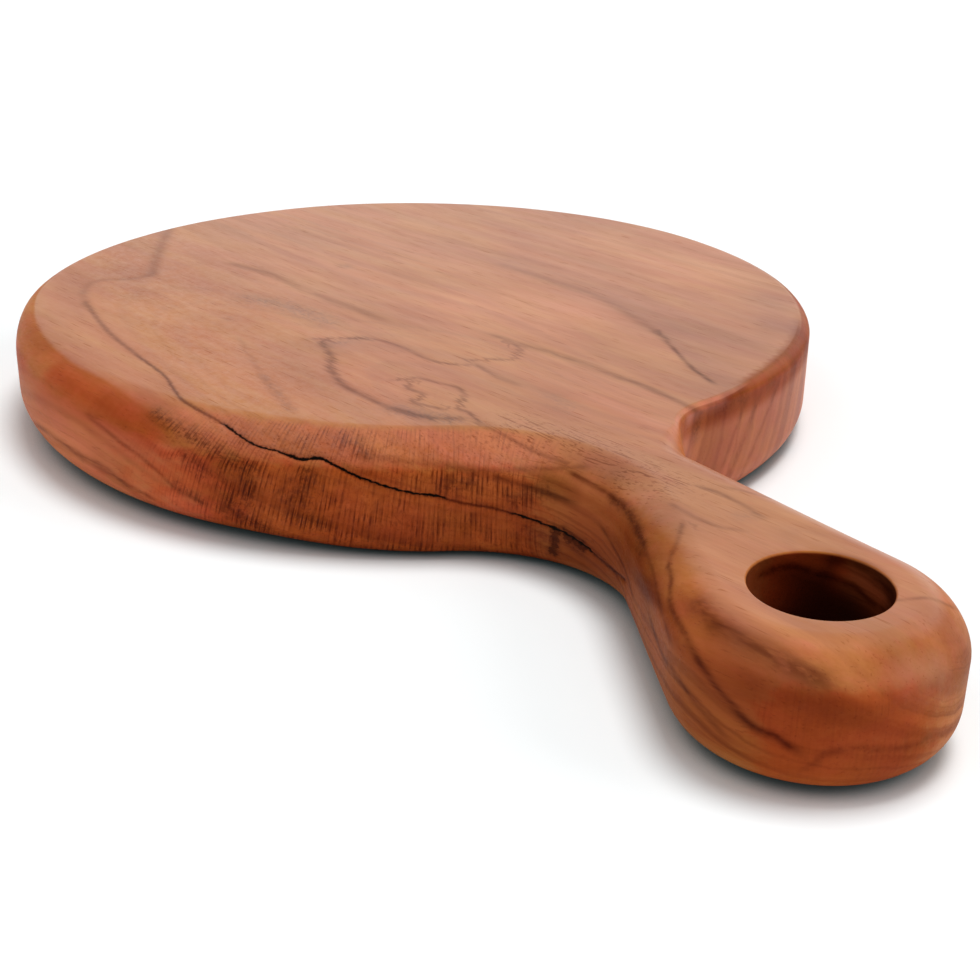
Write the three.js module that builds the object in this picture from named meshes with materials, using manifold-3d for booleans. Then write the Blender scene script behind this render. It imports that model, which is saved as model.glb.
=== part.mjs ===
// Round serving board with a paddle handle and a finger hole, cut from one plank of teak.
// Millimetres, +Z up. The origin is the centre of the round blade, on the underside.
// The centre of the finger hole lies on the -Y axis.

import * as THREE from "three";
import { mergeVertices } from "three/addons/utils/BufferGeometryUtils.js";
import Module from "manifold-3d";

// Plank and blade
const THICKNESS = 26.5;
const BLADE_DIAMETER = 200;

// Handle and finger hole
const HANDLE_REACH = 175; // blade centre to hole centre
const HOLE_DIAMETER = 24;
const HOLE_LIP = 0.6; // rounding of the hole's two mouths
const HOLE_RIM = 13.2; // wood between the hole and the round end of the handle

// Neck, where the handle is narrowest, measured from the centre line to each side
const NECK_LEFT = 11.3;
const NECK_RIGHT = 13.9;

// Hollow shoulders that lead from the blade into the neck
const LEFT_SHOULDER = 31;
const RIGHT_SHOULDER = 17;

// Rounding of the top edge at stations round the outline, counter-clockwise
const TOP_EDGE_RIGHT = 3.2; // where the blade meets the right shoulder
const TOP_EDGE_FAR = 4.2; // far side of the blade
const TOP_EDGE_FRONT = 10; // left and front left of the blade
const TOP_EDGE_LEFT = 8.5; // where the blade meets the left shoulder
const TOP_EDGE_NECK = 8.5; // left side of the neck
const TOP_EDGE_END = 9.2; // round end and right flank of the handle
const TOP_EDGE_CROOK = 3; // middle of the right shoulder

// Rounding of the bottom edge
const UNDER_EDGE_RIGHT = 7; // where the blade meets the right shoulder
const UNDER_EDGE_BLADE = 10;
const UNDER_EDGE_SIDE = 11.3; // left side of the blade
const UNDER_EDGE_LEFT = 5; // where the blade meets the left shoulder
const UNDER_EDGE_HANDLE = 9;

// Directions of the edge stations on the blade, in degrees
const FAR_EDGE_FROM = 20; // from +X
const FAR_EDGE_TO = 150; // from +X
const SIDE_EDGE_AT = 190; // from +X
const FRONT_EDGE_BEFORE = 29; // short of the left shoulder

// A rounded edge takes at most this share of the thickness, or of the neck's width
const EDGE_SHARE = 0.45;

// A hollow shoulder takes at most this share of the gap between the blade and the handle's round end
const SHOULDER_SHARE = 0.75;

// Facets
const STEP_LENGTH = 7; // longest step along the outline
const TURN_STEP = 8; // largest turn between steps, in degrees
const FEWEST_STEPS = 4; // on any stretch of the outline
const EDGE_STEPS = 6; // steps over each quarter-round edge
const HOLE_SIDES = 48;
const LIP_STEPS = 4;

const bladeRadius = BLADE_DIAMETER / 2;
const holeRadius = HOLE_DIAMETER / 2;
const endRadius = holeRadius + HOLE_RIM;
const endCentre = new THREE.Vector2(0, -HANDLE_REACH);
const neckWidth = NECK_LEFT + NECK_RIGHT;
const widestEdge = EDGE_SHARE * Math.min(THICKNESS, neckWidth);
const widestShoulder = SHOULDER_SHARE * (HANDLE_REACH - bladeRadius - endRadius);

// One side of the handle. The shoulder's circle touches the blade from outside, and a straight flank runs
// from it to the round end, as the inner tangent of the two circles. The side is +1 for right, -1 for left.
function handleSide(side, neck, shoulderWanted) {
  const shoulder = Math.min(shoulderWanted, widestShoulder);
  const across = neck + shoulder;
  const along = Math.sqrt((bladeRadius + shoulder) ** 2 - across ** 2);
  const centre = new THREE.Vector2(side * across, -along);
  const toEnd = endCentre.clone().sub(centre);
  const spread = Math.asin((shoulder + endRadius) / toEnd.length());
  const heading = toEnd.angle() + side * spread;
  const outward = new THREE.Vector2(-Math.sin(heading), Math.cos(heading)).multiplyScalar(side);
  return {
    centre,
    shoulder,
    bladeAngle: centre.angle(), // on the blade's circle
    shoulderAngle: centre.angle() - Math.PI, // the same point on the shoulder's circle
    neckAngle: outward.clone().negate().angle(),
    endAngle: outward.angle(),
    neckPoint: centre.clone().addScaledVector(outward, -shoulder),
    endPoint: endCentre.clone().addScaledVector(outward, endRadius),
  };
}

function arc(centre, radius, from, to, clockwise = false) {
  return new THREE.ArcCurve(centre.x, centre.y, radius, from, to, clockwise);
}

// The outline, counter-clockwise, in stretches that touch smoothly.
// Each stretch carries the rounding of the top and the bottom edge at its start and its end.
function outlineStretches() {
  const left = handleSide(-1, NECK_LEFT, LEFT_SHOULDER);
  const right = handleSide(1, NECK_RIGHT, RIGHT_SHOULDER);
  const farFrom = THREE.MathUtils.degToRad(FAR_EDGE_FROM);
  const farTo = THREE.MathUtils.degToRad(FAR_EDGE_TO);
  const side = THREE.MathUtils.degToRad(SIDE_EDGE_AT);
  const front = left.bladeAngle - THREE.MathUtils.degToRad(FRONT_EDGE_BEFORE);
  const bladeCentre = new THREE.Vector2(0, 0);
  const blade = (from, to) => arc(bladeCentre, bladeRadius, from, to);
  const crook = (from, to) => arc(right.centre, right.shoulder, from, to, true);
  const crookMiddle = (right.neckAngle + right.shoulderAngle) / 2;
  const stretch = (curve, top, under) => ({ curve, top, under });
  return [
    stretch(
      blade(right.bladeAngle, farFrom),
      [TOP_EDGE_RIGHT, TOP_EDGE_FAR],
      [UNDER_EDGE_RIGHT, UNDER_EDGE_BLADE],
    ),
    stretch(
      blade(farFrom, farTo),
      [TOP_EDGE_FAR, TOP_EDGE_FAR],
      [UNDER_EDGE_BLADE, UNDER_EDGE_BLADE],
    ),
    stretch(
      blade(farTo, side),
      [TOP_EDGE_FAR, TOP_EDGE_FRONT],
      [UNDER_EDGE_BLADE, UNDER_EDGE_SIDE],
    ),
    stretch(
      blade(side, front),
      [TOP_EDGE_FRONT, TOP_EDGE_FRONT],
      [UNDER_EDGE_SIDE, UNDER_EDGE_BLADE],
    ),
    stretch(
      blade(front, left.bladeAngle),
      [TOP_EDGE_FRONT, TOP_EDGE_LEFT],
      [UNDER_EDGE_BLADE, UNDER_EDGE_LEFT],
    ),
    stretch(
      arc(left.centre, left.shoulder, left.shoulderAngle, left.neckAngle, true),
      [TOP_EDGE_LEFT, TOP_EDGE_NECK],
      [UNDER_EDGE_LEFT, UNDER_EDGE_HANDLE],
    ),
    stretch(
      new THREE.LineCurve(left.neckPoint, left.endPoint),
      [TOP_EDGE_NECK, TOP_EDGE_END],
      [UNDER_EDGE_HANDLE, UNDER_EDGE_HANDLE],
    ),
    stretch(
      arc(endCentre, endRadius, left.endAngle, right.endAngle),
      [TOP_EDGE_END, TOP_EDGE_END],
      [UNDER_EDGE_HANDLE, UNDER_EDGE_HANDLE],
    ),
    stretch(
      new THREE.LineCurve(right.endPoint, right.neckPoint),
      [TOP_EDGE_END, TOP_EDGE_END],
      [UNDER_EDGE_HANDLE, UNDER_EDGE_HANDLE],
    ),
    stretch(
      crook(right.neckAngle, crookMiddle),
      [TOP_EDGE_END, TOP_EDGE_CROOK],
      [UNDER_EDGE_HANDLE, UNDER_EDGE_HANDLE],
    ),
    stretch(
      crook(crookMiddle, right.shoulderAngle),
      [TOP_EDGE_CROOK, TOP_EDGE_RIGHT],
      [UNDER_EDGE_HANDLE, UNDER_EDGE_RIGHT],
    ),
  ];
}

function stepCount(curve) {
  const length = curve.getLength();
  const byLength = length / STEP_LENGTH;
  const turn = curve.isLineCurve ? 0 : THREE.MathUtils.radToDeg(length / curve.xRadius);
  return Math.max(FEWEST_STEPS, Math.ceil(Math.max(byLength, turn / TURN_STEP)));
}

function rounding([start, end], share) {
  const radius = THREE.MathUtils.lerp(start, end, THREE.MathUtils.smoothstep(share, 0, 1));
  return Math.min(radius, widestEdge);
}

// Stations round the outline: a point, the outward direction and the two edge roundings there.
function outlineStations() {
  const stations = [];
  for (const { curve, top, under } of outlineStretches()) {
    const steps = stepCount(curve);
    for (let step = 0; step < steps; step += 1) {
      const share = step / steps;
      const tangent = curve.getTangentAt(share);
      stations.push({
        point: curve.getPointAt(share),
        outward: new THREE.Vector2(tangent.y, -tangent.x),
        top: rounding(top, share),
        under: rounding(under, share),
      });
    }
  }
  return stations;
}

// Closed rings of points from the underside up over both rounded edges to the top face.
// Where its surface leans by an angle, a quarter round of radius r is drawn in by r (1 - sin)
// and lifted by r (1 - cos).
function edgeRings(stations) {
  const leans = Array.from({ length: EDGE_STEPS + 1 }, (_, step) => (step / EDGE_STEPS) * (Math.PI / 2));
  const ring = (lean, radiusOf, heightOf) =>
    stations.map((station) => {
      const radius = radiusOf(station);
      const drawnIn = radius * (1 - Math.sin(lean));
      const point = station.point.clone().addScaledVector(station.outward, -drawnIn);
      return new THREE.Vector3(point.x, point.y, heightOf(radius * (1 - Math.cos(lean))));
    });
  const underRings = leans.map((lean) => ring(lean, (station) => station.under, (lift) => lift));
  const topRings = leans.map((lean) => ring(lean, (station) => station.top, (lift) => THICKNESS - lift));
  return [...underRings, ...topRings.reverse()];
}

// A closed body from a stack of rings, with a flat face at each end.
function loft(rings) {
  const around = rings[0].length;
  const positions = rings.flat().flatMap((point) => point.toArray());
  const faces = [];
  for (let row = 0; row + 1 < rings.length; row += 1) {
    for (let column = 0; column < around; column += 1) {
      const a = row * around + column;
      const b = row * around + ((column + 1) % around);
      faces.push([a, b, b + around], [a, b + around, a + around]);
    }
  }
  const outlineOf = (ring) => ring.map((point) => new THREE.Vector2(point.x, point.y));
  const lastRing = (rings.length - 1) * around;
  for (const [a, b, c] of THREE.ShapeUtils.triangulateShape(outlineOf(rings[0]), [])) {
    faces.push([a, c, b]);
  }
  for (const [a, b, c] of THREE.ShapeUtils.triangulateShape(outlineOf(rings.at(-1)), [])) {
    faces.push([lastRing + a, lastRing + b, lastRing + c]);
  }
  const geometry = new THREE.BufferGeometry();
  geometry.setAttribute("position", new THREE.Float32BufferAttribute(positions, 3));
  geometry.setIndex(faces.flat());
  return geometry;
}

// The wood that the drill and the rounding of its two mouths take out: a spool that flares at both faces.
function holeGeometry() {
  const flare = holeRadius + HOLE_LIP;
  const clear = HOLE_LIP;
  const lip = (faceHeight, inwards) =>
    Array.from({ length: LIP_STEPS + 1 }, (_, step) => {
      const turn = (step / LIP_STEPS) * (Math.PI / 2);
      return new THREE.Vector2(
        flare - HOLE_LIP * Math.sin(turn),
        faceHeight + inwards * HOLE_LIP * (1 - Math.cos(turn)),
      );
    });
  const profile = [
    new THREE.Vector2(0, -clear),
    new THREE.Vector2(flare, -clear),
    ...lip(0, 1),
    ...lip(THICKNESS, -1).reverse(),
    new THREE.Vector2(flare, THICKNESS + clear),
    new THREE.Vector2(0, THICKNESS + clear),
  ];
  const geometry = new THREE.LatheGeometry(profile, HOLE_SIDES);
  geometry.rotateX(Math.PI / 2);
  geometry.translate(endCentre.x, endCentre.y, 0);
  return geometry;
}

const wasm = await Module();
wasm.setup();

function toSolid(geometry) {
  const bare = geometry.clone();
  bare.deleteAttribute("normal");
  bare.deleteAttribute("uv");
  const merged = mergeVertices(bare);
  return new wasm.Manifold(
    new wasm.Mesh({
      numProp: 3,
      vertProperties: new Float32Array(merged.attributes.position.array),
      triVerts: new Uint32Array(merged.index.array),
    }),
  );
}

function toGeometry(solid) {
  const mesh = solid.getMesh();
  const geometry = new THREE.BufferGeometry();
  geometry.setAttribute("position", new THREE.BufferAttribute(mesh.vertProperties, 3));
  geometry.setIndex(new THREE.BufferAttribute(mesh.triVerts, 1));
  geometry.computeVertexNormals();
  return geometry;
}

function makeBoard() {
  const blank = toSolid(loft(edgeRings(outlineStations())));
  const drilled = blank.subtract(toSolid(holeGeometry()));
  const oiledTeak = new THREE.MeshStandardMaterial({ color: 0xa8683f, roughness: 0.5, metalness: 0 });
  const board = new THREE.Mesh(toGeometry(drilled), oiledTeak);
  board.name = "board";
  return board;
}

const servingBoard = new THREE.Group();
servingBoard.add(makeBoard());

export default servingBoard;
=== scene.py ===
"""Looks of a round teak serving board with a paddle handle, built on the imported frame.

The board is one plank, so it is one piece: a closed skin carried round the outline, with flat faces and a
drilled finger hole. Growth rings run through the plank as one smooth field, so that the figure on the top,
the edges and the walls belongs together. Sizes are in millimetres, and the mesh is written in metres.
"""

import logging
import math
from dataclasses import dataclass, field
from enum import Enum
from typing import NamedTuple

import bpy
import numpy as np
from mathutils import Matrix, Vector
from mathutils.bvhtree import BVHTree
from mathutils.geometry import delaunay_2d_cdt


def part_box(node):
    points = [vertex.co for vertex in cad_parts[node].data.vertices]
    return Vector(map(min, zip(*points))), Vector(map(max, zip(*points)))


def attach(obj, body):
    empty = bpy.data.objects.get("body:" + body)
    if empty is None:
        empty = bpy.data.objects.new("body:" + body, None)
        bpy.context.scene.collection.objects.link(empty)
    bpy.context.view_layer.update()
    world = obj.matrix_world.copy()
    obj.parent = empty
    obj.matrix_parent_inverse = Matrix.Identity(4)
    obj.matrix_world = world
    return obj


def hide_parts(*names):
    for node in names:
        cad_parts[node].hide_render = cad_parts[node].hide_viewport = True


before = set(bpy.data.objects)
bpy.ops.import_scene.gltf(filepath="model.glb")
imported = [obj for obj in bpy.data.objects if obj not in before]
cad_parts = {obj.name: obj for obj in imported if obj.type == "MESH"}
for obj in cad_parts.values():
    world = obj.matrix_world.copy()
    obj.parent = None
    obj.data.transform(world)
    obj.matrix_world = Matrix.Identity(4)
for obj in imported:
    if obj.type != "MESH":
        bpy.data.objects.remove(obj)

Array = np.ndarray
Socket = bpy.types.NodeSocket
Pixel = tuple[int, int]
Colour = tuple[float, float, float, float]
Span = tuple[float, float]

MM = 0.001
IMAGE_SIZE = 980
SENSOR_WIDTH = 36.0
CHUNK = 4000
BODY = "root"
NODE = "board"
GRAIN_TURN = math.radians(18.0)
GRAIN = np.array((math.sin(GRAIN_TURN), -math.cos(GRAIN_TURN), 0.0))

log = logging.getLogger("serving_board")


# Camera


@dataclass(frozen=True)
class PhotoCamera:
    """The photograph's point of view, as an orbit round a point on the floor."""

    azimuth: float = -25.12
    elevation: float = 24.21
    roll: float = 0.92
    distance: float = 351.1
    target: tuple[float, float, float] = (-9.3, -66.4, 0.0)
    focal_pixels: float = 1548.6

    def axes(self) -> Array:
        """Gives the camera's right, up and back directions as the rows of a matrix.

        Returns:
            A 3 by 3 array.
        """
        turn, rise, roll = np.radians((self.azimuth, self.elevation, self.roll))
        back = np.array((np.sin(turn) * np.cos(rise), -np.cos(turn) * np.cos(rise), np.sin(rise)))
        right = np.array((np.cos(turn), np.sin(turn), 0.0))
        up = np.cross(back, right)
        rolled_right = right * np.cos(roll) + up * np.sin(roll)
        rolled_up = up * np.cos(roll) - right * np.sin(roll)
        return np.stack((rolled_right, rolled_up, back))

    def place(self) -> Array:
        """Gives the camera's place in millimetres."""
        return np.array(self.target) + self.axes()[2] * self.distance

    def rays(self, pixels: Array) -> Array:
        """Gives the directions of the lines of sight through pixels of the image.

        Args:
            pixels: Columns and rows, one pair a row.

        Returns:
            Unit directions, one a row.
        """
        offsets = (np.asarray(pixels, float) - IMAGE_SIZE / 2) / self.focal_pixels
        right, up, back = self.axes()
        rays = offsets[:, :1] * right - offsets[:, 1:] * up - back
        return rays / np.linalg.norm(rays, axis=1, keepdims=True)

    def build(self) -> bpy.types.Object:
        """Makes the camera and sets it as the scene's camera.

        Returns:
            The camera object.
        """
        data = bpy.data.cameras.new("photo_camera")
        data.sensor_width = SENSOR_WIDTH
        data.lens = self.focal_pixels / IMAGE_SIZE * SENSOR_WIDTH
        data.clip_start = 0.01
        camera = bpy.data.objects.new("photo_camera", data)
        matrix = np.eye(4)
        matrix[:3, :3] = self.axes().T
        matrix[:3, 3] = self.place() * MM
        camera.matrix_world = Matrix(matrix.tolist())
        bpy.context.scene.collection.objects.link(camera)
        bpy.context.scene.camera = camera
        return camera


# Outline and skin


class Side(Enum):
    """The two sides of the handle, seen from its end."""

    LEFT = -1
    RIGHT = 1


@dataclass(frozen=True)
class Arc:
    """A stretch of the outline on a circle. A hollow one runs clockwise, with the wood outside the circle."""

    centre: Array
    radius: float
    start: float
    end: float
    hollow: bool = False

    @property
    def sweep(self) -> float:
        """The signed angle from the start to the end."""
        turn = (self.end - self.start) % math.tau
        return turn - math.tau if self.hollow else turn

    @property
    def length(self) -> float:
        """The length along the circle."""
        return self.radius * abs(self.sweep)

    def trace(self, share: Array) -> tuple[Array, Array]:
        """Gives centre + radius (cos, sin) at shares of the sweep.

        Args:
            share: Shares from 0 at the start to 1 at the end.

        Returns:
            The points, and the directions out of the wood.
        """
        angle = self.start + self.sweep * share
        spoke = np.stack((np.cos(angle), np.sin(angle)), axis=-1)
        return self.centre + self.radius * spoke, -spoke if self.hollow else spoke


@dataclass(frozen=True)
class Flank:
    """A straight stretch of the outline."""

    start: Array
    end: Array

    @property
    def length(self) -> float:
        """The distance between its ends."""
        return float(np.linalg.norm(self.end - self.start))

    def trace(self, share: Array) -> tuple[Array, Array]:
        """Gives start + share (end - start).

        Args:
            share: Shares from 0 at the start to 1 at the end.

        Returns:
            The points, and the directions out of the wood.
        """
        run = self.end - self.start
        outward = np.array((run[1], -run[0])) / self.length
        return self.start + share[:, None] * run, np.broadcast_to(outward, (len(share), 2))


class Edge(NamedTuple):
    """The edge's shape at a place on the outline: its upper and lower radius, and how flat the upper is."""

    top: float
    under: float
    flat: float = 1.15


@dataclass(frozen=True)
class Stretch:
    """A smooth stretch of the outline, with the edge's shape at its start. The next one starts at its end."""

    path: Arc | Flank
    edge: Edge
    fine: bool = False


@dataclass(frozen=True)
class Stations:
    """Places round the outline, with the edge shape at each."""

    points: Array
    outward: Array
    top: Array
    under: Array
    flat: Array


@dataclass(frozen=True)
class Skin:
    """A closed surface: points, triangles, outward directions and which points line the hole.

    The rim's points also hold how far along the outline and how far up its edge they lie.
    """

    points: Array
    triangles: Array
    normals: Array
    bore: Array
    around: Array
    climb: Array


def smooth_step(share: Array) -> Array:
    """Eases a share from 0 to 1 with level ends: 3 s^2 - 2 s^3 of the clipped share."""
    held = np.clip(share, 0.0, 1.0)
    return held * held * (3.0 - 2.0 * held)


def ramp(values: Array, span: tuple[float | Array, float | Array]) -> Array:
    """Eases values from 0 at the start of a span to 1 at its end, whichever way it runs."""
    start, full = span
    return smooth_step((values - start) / (full - start))


def band_triangles(rows: int, columns: int) -> Array:
    """Lists the triangles of a grid whose columns close on themselves.

    Args:
        rows: Number of rows.
        columns: Number of points in a row.

    Returns:
        Indices into the grid, three a row, turning counter-clockwise as columns go right and rows go up.
    """
    row, column = np.meshgrid(np.arange(rows - 1), np.arange(columns), indexing="ij")
    a = row * columns + column
    b = row * columns + (column + 1) % columns
    first = np.stack((a, b, b + columns), axis=-1)
    second = np.stack((a, b + columns, a + columns), axis=-1)
    return np.concatenate((first.reshape(-1, 3), second.reshape(-1, 3)))


def inside(points: Array, outline: Array) -> Array:
    """Tests which points lie inside a closed outline, by counting the crossings of a ray along +X.

    Args:
        points: Points in the plane, one a row.
        outline: Corners of the outline in order.

    Returns:
        True for each point inside.
    """
    x, y = points[:, :1], points[:, 1:]
    start, end = outline, np.roll(outline, -1, axis=0)
    spans = (start[:, 1] > y) != (end[:, 1] > y)
    rise = np.where(end[:, 1] == start[:, 1], 1.0, end[:, 1] - start[:, 1])
    crossing = start[:, 0] + (y - start[:, 1]) * (end[:, 0] - start[:, 0]) / rise
    return (spans & (x < crossing)).sum(axis=1) % 2 == 1


def nearest_gap(points: Array, others: Array) -> Array:
    """Gives each point's distance to the nearest of other points.

    Args:
        points: Points, one a row.
        others: The points to measure to.

    Returns:
        One distance a point.
    """
    parts = [points[start : start + CHUNK] for start in range(0, len(points), CHUNK)]
    gaps = [np.linalg.norm(part[:, None, :] - others, axis=2).min(axis=1) for part in parts]
    return np.concatenate(gaps) if gaps else np.zeros(0)


@dataclass(frozen=True)
class BoardShape:
    """The board's form: a round blade, hollow shoulders, a neck and a round-ended handle with a hole."""

    thickness: float
    blade_radius: float = 100.0
    handle_reach: float = 175.0
    hole_radius: float = 12.0
    hole_lip: float = 0.6
    hole_rim: float = 13.2
    neck: dict = field(default_factory=lambda: {Side.LEFT: 11.3, Side.RIGHT: 13.9})
    shoulder: dict = field(default_factory=lambda: {Side.LEFT: 31.0, Side.RIGHT: 17.0})
    crisp_edge: Edge = Edge(1.8, 7.0)
    right_edge: Edge = Edge(3.2, 7.0)
    far_edge: Edge = Edge(4.2, 10.0, 1.2)
    left_edge: Edge = Edge(10.0, 11.3, 1.05)
    front_edge: Edge = Edge(10.0, 10.0, 1.2)
    shoulder_edge: Edge = Edge(8.5, 5.0, 1.3)
    neck_edge: Edge = Edge(8.5, 9.0, 1.2)
    handle_edge: Edge = Edge(9.2, 9.0)
    crook_edge: Edge = Edge(1.8, 9.0)
    crisp_to: float = -45.0
    far_from: float = 20.0
    far_to: float = 150.0
    side_at: float = 190.0
    front_before: float = 29.0
    fine_step: float = 0.45
    coarse_step: float = 1.25
    under_rings: int = 18
    wall_rings: int = 18
    top_rings: int = 30
    hole_sides: int = 120
    lip_rings: int = 8
    bore_rings: int = 18
    top_grid: float = 1.6
    under_grid: float = 5.0

    @property
    def end_centre(self) -> Array:
        """The centre of the handle's round end and of the hole."""
        return np.array((0.0, -self.handle_reach))

    @property
    def end_radius(self) -> float:
        """The radius of the handle's round end."""
        return self.hole_radius + self.hole_rim

    def handle_side(self, side: Side) -> dict[str, float | Array]:
        """Works out one side of the handle.

        The shoulder's circle touches the blade from outside, and a straight flank runs from it to the round
        end as the inner tangent of the two circles.

        Args:
            side: Which side.

        Returns:
            The shoulder's centre, the angles where its stretches meet, and the flank's two ends.
        """
        across = self.neck[side] + self.shoulder[side]
        along = math.sqrt((self.blade_radius + self.shoulder[side]) ** 2 - across**2)
        centre = np.array((side.value * across, -along))
        to_end = self.end_centre - centre
        spread = math.asin((self.shoulder[side] + self.end_radius) / np.linalg.norm(to_end))
        heading = math.atan2(to_end[1], to_end[0]) + side.value * spread
        outward = side.value * np.array((-math.sin(heading), math.cos(heading)))
        blade_angle = math.atan2(centre[1], centre[0])
        return {
            "centre": centre,
            "blade": blade_angle,
            "shoulder": blade_angle - math.pi,
            "neck": math.atan2(-outward[1], -outward[0]),
            "end": math.atan2(outward[1], outward[0]),
            "neck_point": centre - outward * self.shoulder[side],
            "end_point": self.end_centre + outward * self.end_radius,
        }

    def stretches(self) -> list[Stretch]:
        """Lists the outline's stretches, counter-clockwise from the right shoulder.

        Returns:
            Stretches that touch smoothly, with edge roundings that change round the board.
        """
        left, right = self.handle_side(Side.LEFT), self.handle_side(Side.RIGHT)
        turns = (self.crisp_to, self.far_from, self.far_to, self.side_at)
        crisp_to, far_from, far_to, side = np.radians(turns).tolist()
        front = left["blade"] - math.radians(self.front_before)
        crook_turn = (right["neck"] - right["shoulder"]) % math.tau
        crook_middle = right["shoulder"] + crook_turn / 2
        origin = np.zeros(2)

        def blade(start: float, end: float) -> Arc:
            """Gives a stretch of the blade's circle."""
            return Arc(origin, self.blade_radius, start, end)

        def crook(start: float, end: float) -> Arc:
            """Gives a stretch of the right shoulder's hollow."""
            return Arc(right["centre"], self.shoulder[Side.RIGHT], start, end, hollow=True)

        left_radius = self.shoulder[Side.LEFT]
        left_shoulder = Arc(left["centre"], left_radius, left["shoulder"], left["neck"], hollow=True)
        left_flank = Flank(left["neck_point"], left["end_point"])
        right_flank = Flank(right["end_point"], right["neck_point"])
        round_end = Arc(self.end_centre, self.end_radius, left["end"], right["end"])
        return [
            Stretch(blade(right["blade"], crisp_to), self.crisp_edge),
            Stretch(blade(crisp_to, far_from), self.right_edge),
            Stretch(blade(far_from, far_to), self.far_edge),
            Stretch(blade(far_to, side), self.far_edge, fine=True),
            Stretch(blade(side, front), self.left_edge, fine=True),
            Stretch(blade(front, left["blade"]), self.front_edge, fine=True),
            Stretch(left_shoulder, self.shoulder_edge, fine=True),
            Stretch(left_flank, self.neck_edge, fine=True),
            Stretch(round_end, self.handle_edge),
            Stretch(right_flank, self.handle_edge),
            Stretch(crook(right["neck"], crook_middle), self.handle_edge),
            Stretch(crook(crook_middle, right["shoulder"]), self.crook_edge),
        ]

    def stations(self) -> Stations:
        """Sets stations along every stretch, close together where the shake opens.

        Returns:
            The stations in order round the board.
        """
        parts = []
        stretches = self.stretches()
        for stretch, following in zip(stretches, stretches[1:] + stretches[:1]):
            step = self.fine_step if stretch.fine else self.coarse_step
            count = math.ceil(stretch.path.length / step)
            share = np.arange(count) / count
            points, outward = stretch.path.trace(share)
            eased = smooth_step(share)
            ends = zip(stretch.edge, following.edge)
            parts.append((points, outward, *((1 - eased) * a + eased * b for a, b in ends)))
        return Stations(*(np.concatenate(column) for column in zip(*parts)))

    def rim(self, at: Stations) -> Array:
        """Carries the edge profile round the outline.

        An edge of radius r that leans by an angle is drawn in by r (1 - sin^flat) and lifted by
        r (1 - cos^flat). With flat at 1 it is a quarter round, and towards 2 it flattens to a chamfer.

        Args:
            at: Stations round the outline.

        Returns:
            Rows of points from the underside over both edges to the top, each row closed.
        """

        def edge(lean: Array, radius: Array, flat: Array) -> tuple[Array, Array]:
            """Gives how far the edge is drawn in and lifted."""
            drawn_in = radius * (1 - np.sin(lean)[:, None] ** flat)
            lift = radius * (1 - np.cos(lean)[:, None] ** flat)
            return drawn_in, lift

        under_lean = np.linspace(0, np.pi / 2, self.under_rings)
        top_lean = np.linspace(np.pi / 2, 0, self.top_rings)
        under_in, under_lift = edge(under_lean, at.under, np.ones_like(at.flat))
        top_in, top_drop = edge(top_lean, at.top, at.flat)
        climb = np.linspace(0, 1, self.wall_rings + 2)[1:-1, None]
        wall = at.under + climb * (self.thickness - at.top - at.under)
        drawn_in = np.concatenate((under_in, np.zeros_like(wall), top_in))
        height = np.concatenate((under_lift, wall, self.thickness - top_drop))
        flat_places = at.points - drawn_in[..., None] * at.outward
        return np.concatenate((flat_places, height[..., None]), axis=-1)

    def bore(self) -> Array:
        """Turns the hole's profile about its axis: a lip, the bore and a lip.

        Returns:
            Rows of points from the top face down to the underside, each row closed.
        """
        lean = np.linspace(0, np.pi / 2, self.lip_rings)
        flare = self.hole_radius + self.hole_lip
        lip_radius = flare - self.hole_lip * np.sin(lean)
        lip_drop = self.hole_lip * (1 - np.cos(lean))
        wall_drop = np.linspace(self.hole_lip, self.thickness - self.hole_lip, self.bore_rings + 2)[1:-1]
        radius = np.concatenate((lip_radius, np.full(self.bore_rings, self.hole_radius), lip_radius[::-1]))
        drop = np.concatenate((lip_drop, wall_drop, self.thickness - lip_drop[::-1]))
        angle = np.arange(self.hole_sides) / self.hole_sides * math.tau
        x = self.end_centre[0] + radius[:, None] * np.cos(angle)
        y = self.end_centre[1] + radius[:, None] * np.sin(angle)
        return np.stack((x, y, np.broadcast_to((self.thickness - drop)[:, None], x.shape)), axis=-1)

    def face(self, outer: Array, hole: Array, spacing: float) -> tuple[Array, Array]:
        """Fills a flat face between its edge and the hole with triangles on an even grid.

        Args:
            outer: The face's edge, in the plane.
            hole: The hole's edge, in the plane.
            spacing: Distance between the points inside.

        Returns:
            The points inside, and triangles over the edge's, the hole's and the inside points in that order.
        """
        low, high = outer.min(axis=0), outer.max(axis=0)
        x, y = np.meshgrid(*(np.arange(a, b, spacing) for a, b in zip(low, high)))
        shift = spacing / 2 * (np.arange(len(x)) % 2)
        grid = np.stack(((x + shift[:, None]).ravel(), y.ravel()), axis=-1)
        grid = grid[inside(grid, outer)]
        edge = np.concatenate((outer, hole))
        grid = grid[nearest_gap(grid, edge) > spacing / 2]
        from_hole = np.linalg.norm(grid - self.end_centre, axis=1)
        grid = grid[from_hole > self.hole_radius + self.hole_lip]
        points = np.concatenate((edge, grid))
        around = np.arange(len(outer))
        ringed = len(outer) + np.arange(len(hole))
        borders = np.concatenate([np.stack((row, np.roll(row, -1)), axis=-1) for row in (around, ringed)])
        made = delaunay_2d_cdt(points.tolist(), borders.tolist(), [], 0, 1e-7)
        corners = np.array(made[0])
        triangles = np.array(made[2])
        if len(corners) != len(points):
            raise ValueError("the flat face gained or lost points")
        middles = corners[triangles].mean(axis=1)
        solid = inside(middles, outer) & ~inside(middles, hole)
        return grid, triangles[solid]

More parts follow.
